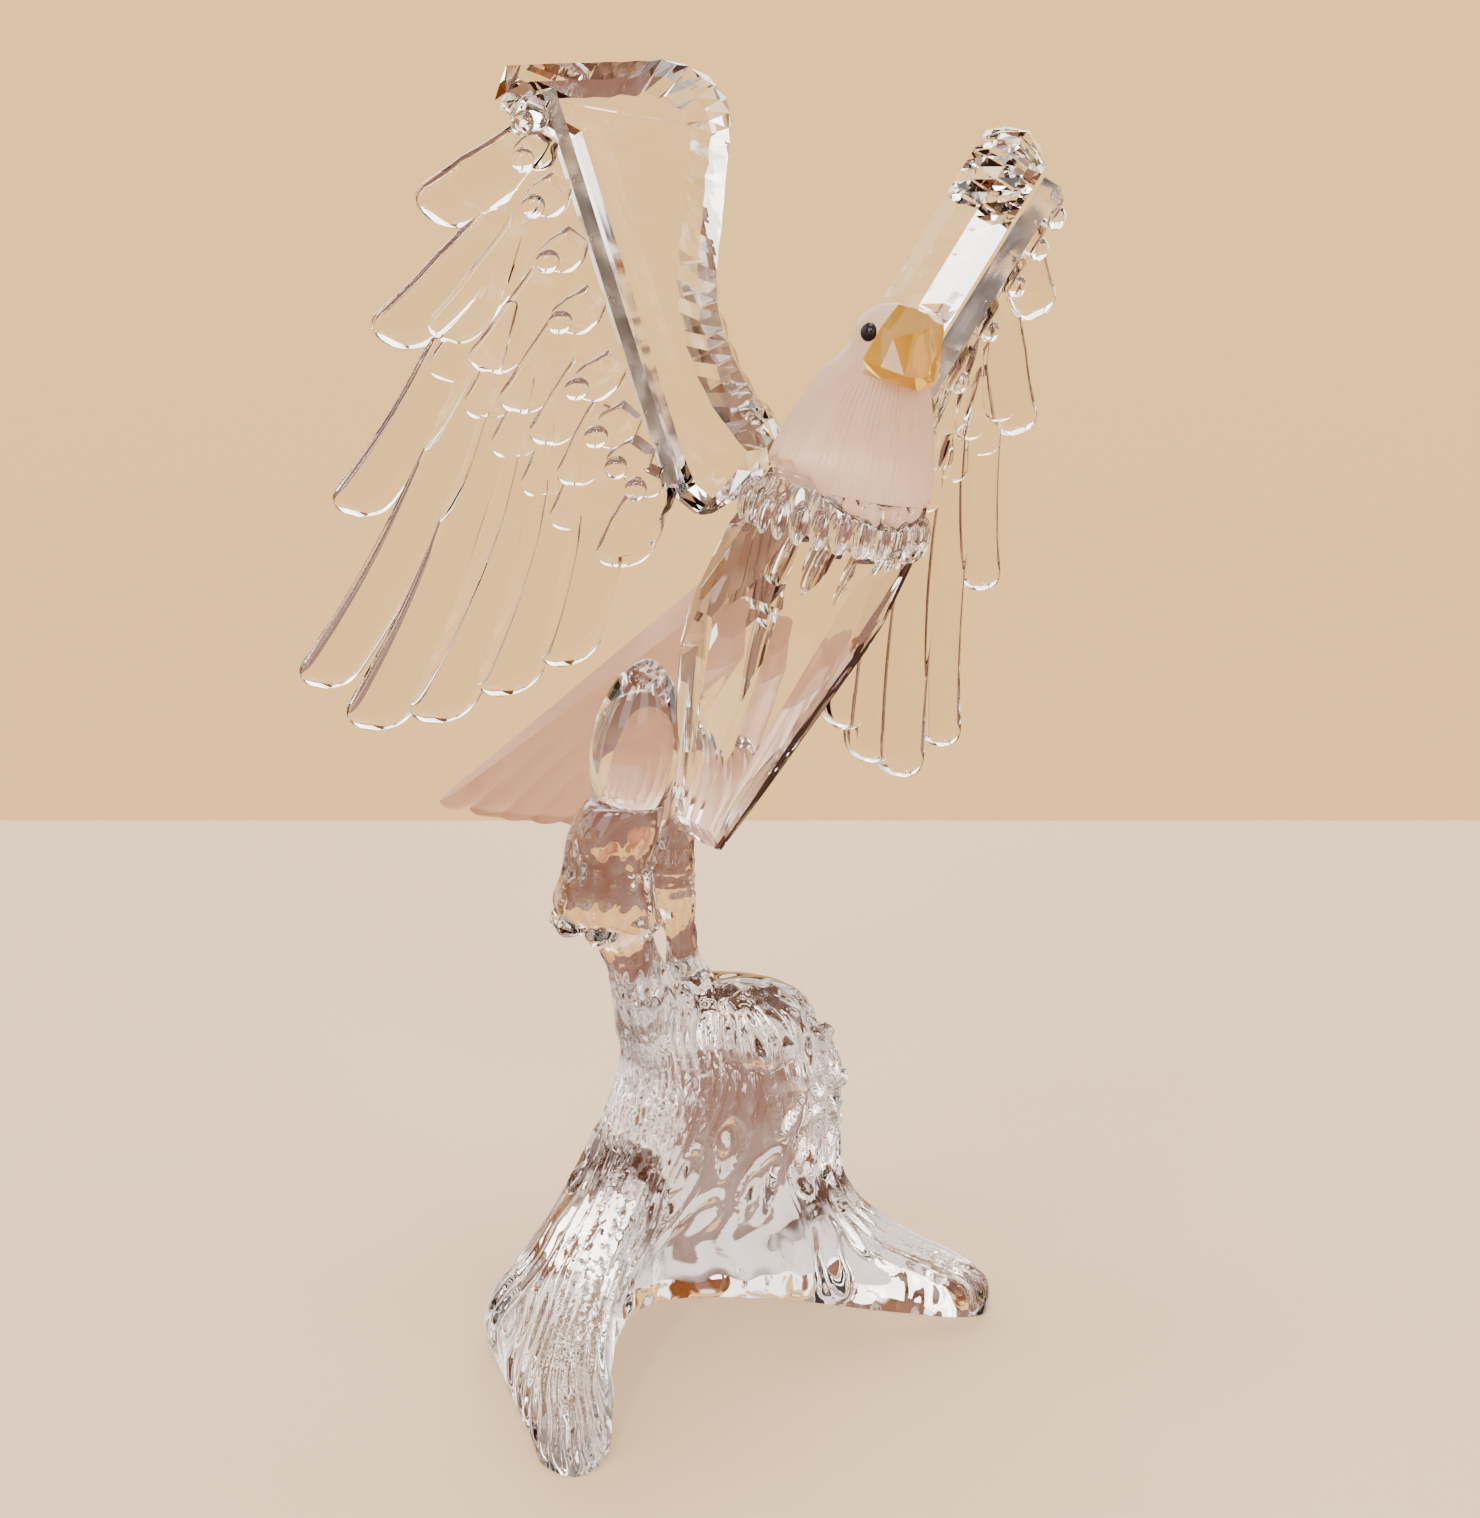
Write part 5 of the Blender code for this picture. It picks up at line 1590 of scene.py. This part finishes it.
@dataclass
class Stump:
    """Moulded stump with roots, a fork of two stems, a broken shoulder, the legs and the feet.

    A section is a height and its matching corners, a stem's row a place and a radius. Of the pairs,
    a start, a fade, a rise or a span is the two ends of a smooth step.
    """

    sections: tuple[tuple[float, tuple[Pair, ...]], ...] = (
        (0.0, ((28.6, 20.5), (21.0, 29.0), (10.5, 33.5), (8.0, 44.5), (-9.0, 39.0), (-26.0, 42.0),
               (-33.5, 29.0), (-38.8, 12.0), (-35.0, -6.0), (-31.6, -19.0), (-29.4, -27.4), (-24.6, -29.8),
               (-21.2, -21.5), (-21.8, 4.0), (-17.0, 19.6), (-2.0, 21.4), (14.0, 17.4), (26.0, 15.2))),
        (5.0, ((26.8, 21.6), (19.6, 28.0), (9.5, 32.5), (6.8, 42.0), (-9.0, 38.0), (-25.0, 39.5),
               (-32.4, 28.5), (-38.2, 11.0), (-35.0, -5.0), (-31.8, -18.0), (-29.4, -26.0), (-24.9, -28.4),
               (-21.5, -20.0), (-21.3, 4.0), (-16.5, 18.2), (-2.0, 20.0), (13.0, 17.6), (24.6, 17.2))),
        (10.0, ((15.6, 25.0), (12.5, 28.5), (7.5, 31.5), (5.0, 37.4), (-9.0, 36.5), (-22.5, 36.0),
                (-30.0, 27.0), (-34.4, 12.0), (-32.6, -2.0), (-30.4, -13.0), (-28.8, -20.4), (-25.2, -22.4),
                (-22.4, -15.5), (-20.6, 4.0), (-15.5, 15.4), (-2.0, 18.0), (9.0, 18.2), (14.2, 20.8))),
        (16.0, ((9.4, 24.6), (9.0, 28.0), (6.0, 31.5), (2.0, 34.5), (-9.0, 35.4), (-20.0, 33.4),
                (-27.0, 25.5), (-30.0, 13.5), (-28.6, 3.5), (-27.2, -2.4), (-25.6, -5.6), (-23.2, -6.4),
                (-20.9, -3.2), (-18.3, 5.5), (-13.0, 12.6), (-3.0, 15.6), (5.2, 17.2), (8.6, 20.8))),
        (25.0, ((8.3, 23.0), (7.5, 27.0), (4.5, 31.0), (-1.0, 33.5), (-9.0, 34.0), (-17.5, 31.5),
                (-23.2, 25.0), (-25.0, 17.0), (-24.2, 11.0), (-22.6, 7.6), (-20.8, 6.0), (-18.9, 5.6),
                (-17.0, 6.2), (-14.4, 8.2), (-10.0, 11.0), (-3.5, 13.0), (3.0, 15.0), (7.0, 18.6))),
        (35.0, ((8.4, 20.5), (7.0, 25.0), (3.5, 28.5), (-2.0, 30.5), (-8.5, 31.0), (-15.0, 29.0),
                (-19.4, 24.0), (-21.0, 17.6), (-20.8, 13.2), (-19.4, 10.2), (-17.6, 8.9), (-16.0, 8.4),
                (-14.0, 8.3), (-11.4, 8.5), (-7.4, 9.0), (-2.5, 10.2), (3.5, 12.6), (7.4, 16.0))),
        (42.0, ((5.0, 18.4), (4.0, 22.0), (1.0, 25.0), (-3.5, 27.0), (-8.5, 27.4), (-14.0, 26.0),
                (-18.0, 21.6), (-20.2, 17.0), (-20.6, 13.0), (-19.6, 10.4), (-17.8, 8.9), (-16.0, 8.3),
                (-13.8, 8.2), (-11.0, 8.2), (-7.5, 8.6), (-3.0, 9.6), (1.6, 11.8), (4.2, 15.0))),
    )
    top: Triple = (-9.0, 16.5, 47.6)
    dome: tuple[Pair, ...] = (
        (0.0, 1.0), (0.2, 0.985), (0.45, 0.93), (0.62, 0.85), (0.78, 0.74), (0.88, 0.6), (0.95, 0.42),
        (0.985, 0.22),
    )
    dome_rings: int = 12
    span_steps: int = 12
    rows_per_level: int = 9
    right_stem: tuple[Quad, ...] = (
        (-12.0, 17.0, 31.0, 5.0), (-13.6, 14.2, 38.0, 6.4), (-15.7, 11.4, 45.5, 5.7),
        (-18.0, 8.8, 52.0, 4.0), (-20.0, 6.8, 57.5, 3.9), (-21.4, 5.8, 60.0, 5.6),
        (-22.2, 5.2, 63.0, 6.6), (-22.1, 4.8, 66.0, 6.1), (-21.7, 4.4, 69.0, 5.6),
        (-20.9, 4.0, 73.0, 5.7), (-19.8, 3.8, 76.2, 5.3), (-19.2, 3.6, 77.5, 4.7),
    )
    left_stem: tuple[Quad, ...] = (
        (-8.5, 18.0, 34.0, 5.0), (-9.2, 17.0, 40.0, 5.4), (-11.0, 16.0, 47.0, 3.8),
        (-12.4, 15.3, 52.0, 2.3), (-12.8, 15.1, 55.5, 2.1), (-13.6, 15.0, 59.0, 2.6),
        (-14.0, 15.0, 62.0, 2.9), (-13.9, 15.0, 66.0, 2.7), (-12.6, 15.2, 70.0, 2.3),
        (-10.9, 15.5, 72.6, 3.0), (-9.8, 15.6, 74.1, 3.4),
    )
    stem_rings: int = 90
    shoulder_lumps: tuple[tuple[Triple, Triple, float], ...] = (
        ((-3.2, 13.4, 42.8), (7.4, 6.4, 5.4), radians(-24)),
        ((1.6, 15.0, 38.6), (5.2, 5.6, 5.4), radians(-30)),
    )
    crest: tuple[Triple, ...] = (
        (-11.0, 14.6, 47.4), (-5.7, 13.4, 47.2), (-1.1, 12.6, 46.6), (2.6, 12.8, 43.6), (5.6, 13.8, 39.6),
        (7.6, 15.6, 34.6),
    )
    crest_knobs: int = 15
    crest_size: float = 1.75
    crest_stretch: Triple = (1.25, 0.8, 0.65)
    crest_shift: Triple = (0.5, 0.9, 0.5)
    crest_pace: Triple = (3.1, 2.2, 5.3)
    crest_turn: Pair = (1.3, 0.9)
    crest_beat: float = 2.4
    feet: tuple[tuple[Triple, float, float], ...] = (
        ((-22.2, 5.2, 62.6), 4.9, 1.0), ((-14.0, 15.0, 62.4), 1.5, 0.62),
    )
    toes: int = 5
    first_toe: float = -190.0
    toe_pitch: float = 48.0
    knuckles: int = 3
    knuckle_reach: Pair = (0.72, 0.2)
    knuckle_drop: float = 1.9
    toe_wave: Pair = (0.5, 2.7)
    knuckle_sizes: Triple = (1.9, 2.1, 1.5)
    left_rings: Quad = (59.0, 67.0, 2.1, 0.5)
    stem_sides: int = 64
    lump_sides: int = 32
    knob_sides: int = 16
    knuckle_sides: int = 20
    grain: float = 0.43
    foot_level: float = 0.35
    smoothing: tuple[int, int] = (8, 2)
    bark: Bark = Bark()
    bark_depth: float = 0.36
    back_share: float = 0.25
    stem_bound: float = 9.5
    stem_start: Pair = (42.0, 50.0)
    crown_fade: Pair = (3.0, 12.0)
    front_fade: Pair = (-0.35, 0.2)
    foot_fade: Pair = (0.3, 2.0)
    seat_fade: Pair = (5.5, 8.0)
    seat_level: float = 70.0
    flow_spots: int = 24
    flow_spread: float = 2.6
    # Painted shade in the grooves: it rises from a low share at the foot to full strength, which paints the
    # lower stump lighter.
    painted_shade_rise: Pair = (17.0, 26.0)
    low_painted_shade: float = 0.3
    painted_shade_span: Pair = (-0.45, 0.75)
    painted_shade_bias: float = 0.15

    def trunk(self) -> tuple[list[Ring], Vector]:
        """Rings of the stump's side and dome, before any relief, and the top that closes them.

        Returns:
            The rings, from the ground up, and the top.
        """
        levels = len(self.sections)
        columns = []
        for line in range(len(self.sections[0][1])):
            path = [Vector((*section[1][line], section[0])) for section in self.sections]
            columns.append(smooth_line(path, (levels - 1) * self.rows_per_level + 1))
        rings = [self.ring([column[row] for column in columns]) for row in range(len(columns[0]))]
        rim, top = rings[-1], Vector(self.top)
        for rise, shrink in smooth_line([Vector(step) for step in self.dome], self.dome_rings)[1:]:
            rings.append([
                Vector((top.x + (point.x - top.x) * shrink, top.y + (point.y - top.y) * shrink,
                        rim[0].z + (top.z - rim[0].z) * rise))
                for point in rim
            ])
        return rings, top

    def ring(self, corners: Sequence[Vector]) -> Ring:
        """Closed smooth line through matching corners of one level.

        Args:
            corners: The corners, in order.

        Returns:
            The line's points.
        """
        count = len(corners)
        line = []
        for i in range(count):
            four = [corners[(i + shift) % count] for shift in (-1, 0, 1, 2)]
            line += [spline_point(four, step / self.span_steps) for step in range(self.span_steps)]
        return line

    def stem(self, table: Sequence[Quad], rings: Quad | None) -> Shell:
        """Tapering stem with the leg on it.

        Args:
            table: Places and radii along the stem.
            rings: Lowest and highest place, pitch and height of the ridges round it, or None.

        Returns:
            The closed form.
        """
        loops = []
        angles = [2 * pi * step / self.stem_sides for step in range(self.stem_sides)]
        for x, y, z, radius in smooth_line([Vector(row) for row in table], self.stem_rings):
            reach = radius
            if rings is not None:
                low, high, pitch, rise = rings
                fade = eased(z, low - 1, low + 1) * eased(z, high + 1, high - 1)
                reach += rise * abs(cos(pi * (z - low) / pitch)) * fade
            loops.append([Vector((x + reach * cos(angle), y + reach * sin(angle), z))
                          for angle in angles])
        return Shell.loft(loops)

    def knobs(self) -> list[Shell]:
        """Broken branch, its ragged crest, and the knuckles of the toes.

        Returns:
            The closed forms.
        """
        made = [ellipsoid(Vector(centre), half_sizes, Matrix.Rotation(turn, 3, "Z"), self.lump_sides)
                for centre, half_sizes, turn in self.shoulder_lumps]
        path = smooth_line([Vector(point) for point in self.crest], self.crest_knobs)
        pace_x, pace_y, pace_z = self.crest_pace
        for i, point in enumerate(path):
            size = self.crest_size * (0.75 + 0.5 * abs(sin(self.crest_beat * i)))
            turn = Matrix.Rotation(self.crest_turn[0] * i, 3, "Y")
            turn = turn @ Matrix.Rotation(self.crest_turn[1] * i, 3, "X")
            wave = Vector((sin(pace_x * i), cos(pace_y * i), sin(pace_z * i)))
            sizes = [size * stretch for stretch in self.crest_stretch]
            made.append(ellipsoid(point + wave * Vector(self.crest_shift), sizes, turn, self.knob_sides))
        near, spread = self.knuckle_reach
        lift, beat = self.toe_wave
        for foot, reach, share in self.feet:
            sizes = [size * share for size in self.knuckle_sizes]
            for toe in range(self.toes):
                angle = radians(self.first_toe + self.toe_pitch * toe)
                for knuckle in range(self.knuckles):
                    out = reach * (near + spread * knuckle)
                    rise = self.knuckle_drop * (1 - knuckle) * share + lift * sin(beat * toe)
                    centre = Vector(foot) + Vector((out * cos(angle), out * sin(angle), rise))
                    turn = Matrix.Rotation(angle, 3, "Z")
                    made.append(ellipsoid(centre, sizes, turn, self.knuckle_sides))
        return made

    def blend(self, stump: bpy.types.Object) -> None:
        """Melt the joined forms into one another, on an even mesh.

        Args:
            stump: The joined stump.
        """
        melt = stump.modifiers.new("melt", "REMESH")
        melt.mode = "VOXEL"
        melt.voxel_size = self.grain * MM
        baked(stump)
        self.soften(stump, self.smoothing[0])

    @staticmethod
    def soften(stump: bpy.types.Object, rounds: int) -> None:
        """Even out the points of the stump, a number of times.

        Args:
            stump: The stump.
            rounds: Number of times.
        """
        soften = stump.modifiers.new("soften", "SMOOTH")
        soften.factor = 0.5
        soften.iterations = rounds
        baked(stump)

    def stem_relief(self, point: Vector) -> float:
        """Height of the bark on the leg or stem that the point lies on.

        Args:
            point: The place, in the layout.

        Returns:
            Height, between about -1 and 1.
        """
        is_right = (point - Vector(self.feet[0][0])).xy.length < self.stem_bound
        table = self.right_stem if is_right else self.left_stem
        axis = min(table, key=lambda row: abs(row[2] - point.z))
        return self.bark.stem(math.atan2(point.y - axis[1], point.x - axis[0]), point)

    def carve(self, stump: bpy.types.Object, rings: Sequence[Ring]) -> None:
        """Move the points of the melted stump by its relief, and keep a painted shade as an attribute:
        darker in the grooves, and less of it low down, where the stump is painted lighter.

        Args:
            stump: The stump, in the frame.
            rings: Rings of its side before the relief, which carry the flow lines.
        """
        count = len(rings[0])
        tree = KDTree(count * len(rings))
        for row, ring in enumerate(rings):
            for i, point in enumerate(ring):
                tree.insert(point, row * count + i)
        tree.balance()
        back = STANCE.layout().inverted()
        turn_back = back.to_3x3().normalized()
        mesh = stump.data
        seats = [Vector(thigh.foot) for thigh in THIGHS.values()]
        bearings = [Vector((cos(2 * pi * i / count), sin(2 * pi * i / count))) for i in range(count)]
        painted_shades = []
        moves = []
        for vertex in mesh.vertices:
            point = back @ vertex.co
            turn = Vector((0, 0))
            for _, index, away in tree.find_n(point, self.flow_spots):
                turn += bearings[index % count] * (math.exp(-away ** 2 / self.flow_spread) + 1e-9)
            around = math.atan2(turn.y, turn.x) / (2 * pi) % 1
            on_stem = eased(point.z, *self.stem_start)
            crowding = eased((Vector(self.top) - point).length, *self.crown_fade)
            height = self.bark.side(around, point) * crowding * (1 - on_stem)
            height += self.stem_relief(point) * on_stem
            front = eased(-(turn_back @ vertex.normal).y, *self.front_fade)
            fade = eased(point.z, *self.foot_fade) * (self.back_share + (1 - self.back_share) * front)
            if point.z > self.seat_level:
                fade *= min(eased((point - seat).length, *self.seat_fade) for seat in seats)
            painted_shade_share = self.low_painted_shade + (1 - self.low_painted_shade) * eased(point.z, *self.painted_shade_rise)
            # Painted shade: the grooves get the darker colour, and the low share near the foot paints the
            # lower stump lighter.
            painted_shades.append(eased(self.painted_shade_bias - height * fade, *self.painted_shade_span) * painted_shade_share)
            moves.append(vertex.normal * (height * fade * self.bark_depth * MM))
        for vertex, move in zip(mesh.vertices, moves):
            vertex.co += move
        mesh.attributes.new(PAINTED_SHADE, "FLOAT", "POINT").data.foreach_set("value", painted_shades)
        self.soften(stump, self.smoothing[1])
        for vertex in stump.data.vertices:
            if vertex.co.z < self.foot_level * MM:
                vertex.co.z = 0.0

    def build(self) -> None:
        """Build and dress the stump."""
        layout = STANCE.layout()
        rings, top = self.trunk()
        stump = Shell.loft(rings, None, top).piece("stump", layout)
        stems = [self.stem(self.right_stem, None), self.stem(self.left_stem, self.left_rings)]
        for shell in [*stems, *self.knobs()]:
            combine(stump, shell.piece("part", layout), "UNION", Solver.FAST)
        self.blend(stump)
        for thigh in THIGHS.values():
            combine(stump, thigh.solid(GLUE_GAP).piece("seat", layout), "DIFFERENCE", Solver.FAST)
        self.carve(stump, rings)
        finish_piece(stump, "stump_and_feet", STUMP_CRYSTAL, ["tree_stump"], radians(60))


@dataclass(frozen=True)
class Lamp:
    """Soft rectangular light: its place and size in millimetres, its power and its colour."""

    name: str
    place: Triple
    size: Pair
    power: float
    colour: Colour = (1.0, 0.97, 0.94)

    def build(self, aim: Vector) -> None:
        """Hang the lamp so that it looks at a point, in metres.

        Args:
            aim: The point.
        """
        data = bpy.data.lights.new(self.name, "AREA")
        data.shape = "RECTANGLE"
        data.size, data.size_y = (side * MM for side in self.size)
        data.energy = self.power
        data.color = self.colour
        lamp = linked(self.name, data)
        lamp.location = Vector(self.place) * MM
        lamp.rotation_euler = (aim - lamp.location).to_track_quat("-Z", "Y").to_euler()


@dataclass
class Studio:
    """Plain pale floor in a warm room, soft light, and the camera at the photograph's angle.

    The painted glow ring has four radii and the window heights four levels: each pair of them is a
    smooth step, up and then down. The room's rows are a share of its height and a colour.
    """

    camera_place: Triple = (-5.0, -470.0, 232.0)
    pitch: float = radians(17.5)
    focal_pixels: float = 3950.0
    long_side: int = 1518
    sensor: float = 36.0
    clip: Pair = (0.01, 10.0)
    floor_sides: Triple = (700.0, -700.0, 200.0)
    floor_gap: float = 0.08
    floor_paint: Colour = (0.64, 0.47, 0.28)
    floor_tone: float = 0.03
    floor_grain: float = 9.0
    floor_roughness: float = 0.6
    floor_depth: Colour = (0.085, 0.02, 0.003)
    # Painted glints: light patches on the brown that only rays inside the crystal see.
    painted_floor_glints: Colour = (0.5, 0.32, 0.17)
    # Painted glow: a ring of floor round the stump shines for rays inside the crystal, though it is no
    # lamp.
    painted_glow_ring: Quad = (12.0, 20.0, 36.0, 44.0)
    painted_glow_colour: Colour = (1.0, 0.94, 0.88)
    painted_glow_strength: float = 1.5
    painted_glint_scale: float = 12.0
    painted_glint_span: Pair = (0.6, 0.7)
    middle: Triple = (0.0, 0.0, 90.0)
    room: tuple[tuple[float, Colour], ...] = (
        (0.0, (1.5, 0.86, 0.3)), (0.53, (1.8, 1.07, 0.4)), (0.555, (0.42, 0.12, 0.03)),
        (0.7, (0.17, 0.045, 0.012)), (0.85, (0.42, 0.16, 0.07)), (1.0, (0.7, 0.45, 0.3)),
    )
    windows: int = 7
    window_turn: float = 2.4
    window_heights: Quad = (0.06, 0.12, 0.6, 0.72)
    window_edge: Pair = (-0.25, 0.15)
    window_light: Colour = (3.6, 3.35, 3.05)
    lamps: tuple[Lamp, ...] = (
        Lamp("top_light", (-60, 40, 820), (560, 420), 6.5),
        Lamp("key_light", (-430, -380, 470), (170, 240), 1.5),
        Lamp("side_light", (450, -160, 330), (80, 340), 0.9),
        Lamp("back_pane_1", (-325, 500, 330), (145, 330), 0.75),
        Lamp("back_pane_2", (-148, 520, 330), (145, 330), 0.75),
        Lamp("back_pane_3", (28, 520, 330), (145, 330), 0.75),
        Lamp("back_pane_4", (205, 500, 330), (145, 330), 0.75),
        Lamp("left_glint", (-190, -430, 480), (40, 150), 1.1),
        Lamp("right_glint", (280, -380, 400), (40, 150), 0.8),
    )

    def floor(self) -> None:
        """Pale floor, as far back as the photograph's table, with a little tone in its paint.

        Rays inside the crystal see it brown, with painted glints and a painted glow ring round the stump,
        which shines though it is no lamp.
        """
        half_width, front, back = (side * MM for side in self.floor_sides)
        level = -self.floor_gap * MM
        points = [(-half_width, front, level), (half_width, front, level), (half_width, back, level),
                  (-half_width, back, level)]
        mesh = bpy.data.meshes.new("pale_floor")
        mesh.from_pydata(points, [], [(0, 1, 2, 3)])
        floor = linked("pale_floor", mesh)
        paint = bpy.data.materials.new("floor_paint")
        paint.use_nodes = True
        tree = paint.node_tree
        nodes, links = tree.nodes, tree.links
        shader = nodes["Principled BSDF"]
        place = nodes.new("ShaderNodeTexCoord").outputs["Object"]
        grain, painted_glint_noise = nodes.new("ShaderNodeTexNoise"), nodes.new("ShaderNodeTexNoise")
        for noise_node, scale in ((grain, self.floor_grain), (painted_glint_noise, self.painted_glint_scale)):
            noise_node.inputs["Scale"].default_value = scale
            links.new(place, noise_node.inputs["Vector"])
        tint = mixed(tree, grain.outputs["Fac"],
                     tuple((1 - self.floor_tone) * part for part in self.floor_paint),
                     tuple((1 + self.floor_tone) * part for part in self.floor_paint))
        # Painted glints on the brown that rays inside the crystal see.
        depth = mixed(tree, smooth_step(tree, painted_glint_noise.outputs["Fac"], *self.painted_glint_span),
                      self.floor_depth, self.painted_floor_glints)
        is_camera = nodes.new("ShaderNodeLightPath").outputs["Is Camera Ray"]
        links.new(mixed(tree, is_camera, depth, tint), shader.inputs["Base Color"])
        shader.inputs["Roughness"].default_value = self.floor_roughness
        out = nodes.new("ShaderNodeVectorMath")
        out.operation = "LENGTH"
        links.new(place, out.inputs[0])
        distance = out.outputs["Value"]
        # Painted glow: a ring round the stump shines for all rays but camera rays, though it is no lamp.
        inner, near, far, outer = (reach * MM for reach in self.painted_glow_ring)
        painted_glow = chain(tree, "MULTIPLY", smooth_step(tree, distance, inner, near),
                     smooth_step(tree, distance, outer, far))
        painted_glow = chain(tree, "MULTIPLY", painted_glow, chain(tree, "SUBTRACT", 1.0, is_camera))
        links.new(chain(tree, "MULTIPLY", painted_glow, self.painted_glow_strength), shader.inputs["Emission Strength"])
        shader.inputs["Emission Color"].default_value = (*self.painted_glow_colour, 1)
        mesh.materials.append(paint)

    def surroundings(self) -> None:
        """Room round the floor: pale up to just over the horizon, brown above, pale overhead."""
        world = bpy.data.worlds.new("room")
        world.use_nodes = True
        bpy.context.scene.world = world
        tree = world.node_tree
        nodes, links = tree.nodes, tree.links
        direction = nodes.new("ShaderNodeTexCoord").outputs["Generated"]
        split = nodes.new("ShaderNodeSeparateXYZ")
        links.new(direction, split.inputs["Vector"])
        height = split.outputs["Z"]
        shift = nodes.new("ShaderNodeMapRange")
        shift.inputs["From Min"].default_value = -1.0
        links.new(height, shift.inputs["Value"])
        ramp = nodes.new("ShaderNodeValToRGB")
        links.new(shift.outputs["Result"], ramp.inputs["Fac"])
        elements = ramp.color_ramp.elements
        while len(elements) < len(self.room):
            elements.new(0.5)
        for element, (place, colour) in zip(elements, self.room):
            element.position = place
            element.color = (*colour, 1)
        light = mixed(tree, self.window_mask(tree, direction, height), ramp.outputs["Color"],
                      self.window_light)
        links.new(light, nodes["Background"].inputs["Color"])
        nodes["Background"].inputs["Strength"].default_value = 1.0

    def window_mask(self, tree: Tree, direction: Socket, height: Socket) -> Socket:
        """Even row of windows all round the room, above what the camera sees.

        Args:
            tree: The world's nodes.
            direction: Output with the direction of view.
            height: Output with the upward part of it.

        Returns:
            Output that is 1 in a window and 0 beside it.
        """
        around = tree.nodes.new("ShaderNodeTexGradient")
        around.gradient_type = "RADIAL"
        tree.links.new(direction, around.inputs["Vector"])
        turn = chain(tree, "MULTIPLY_ADD", around.outputs["Fac"], 2 * pi * self.windows, self.window_turn)
        mask = smooth_step(tree, chain(tree, "SINE", turn), *self.window_edge)
        low, full, high, end = self.window_heights
        mask = chain(tree, "MULTIPLY", mask, smooth_step(tree, height, low, full))
        return chain(tree, "MULTIPLY", mask, smooth_step(tree, height, end, high))

    def camera(self) -> None:
        """Camera at the photograph's viewing angle."""
        data = bpy.data.cameras.new("camera")
        data.sensor_width = self.sensor
        data.lens = self.focal_pixels / self.long_side * self.sensor
        data.clip_start, data.clip_end = self.clip
        camera = linked("camera", data)
        camera.location = STANCE.layout() @ Vector(self.camera_place)
        camera.rotation_euler = (pi / 2 - self.pitch, 0, 0)
        bpy.context.scene.camera = camera

    def build(self) -> None:
        """Build the whole studio."""
        self.camera()
        self.floor()
        self.surroundings()
        for lamp in self.lamps:
            lamp.build(Vector(self.middle) * MM)


def main() -> None:
    """Build every sub-assembly in order."""
    Studio().build()
    Stump().build()
    Body().build()
    Head().build()
    for side, thigh in THIGHS.items():
        thigh.build(side)
    Tail().build()
    Wings().build()


if __name__ == "__main__":
    main()
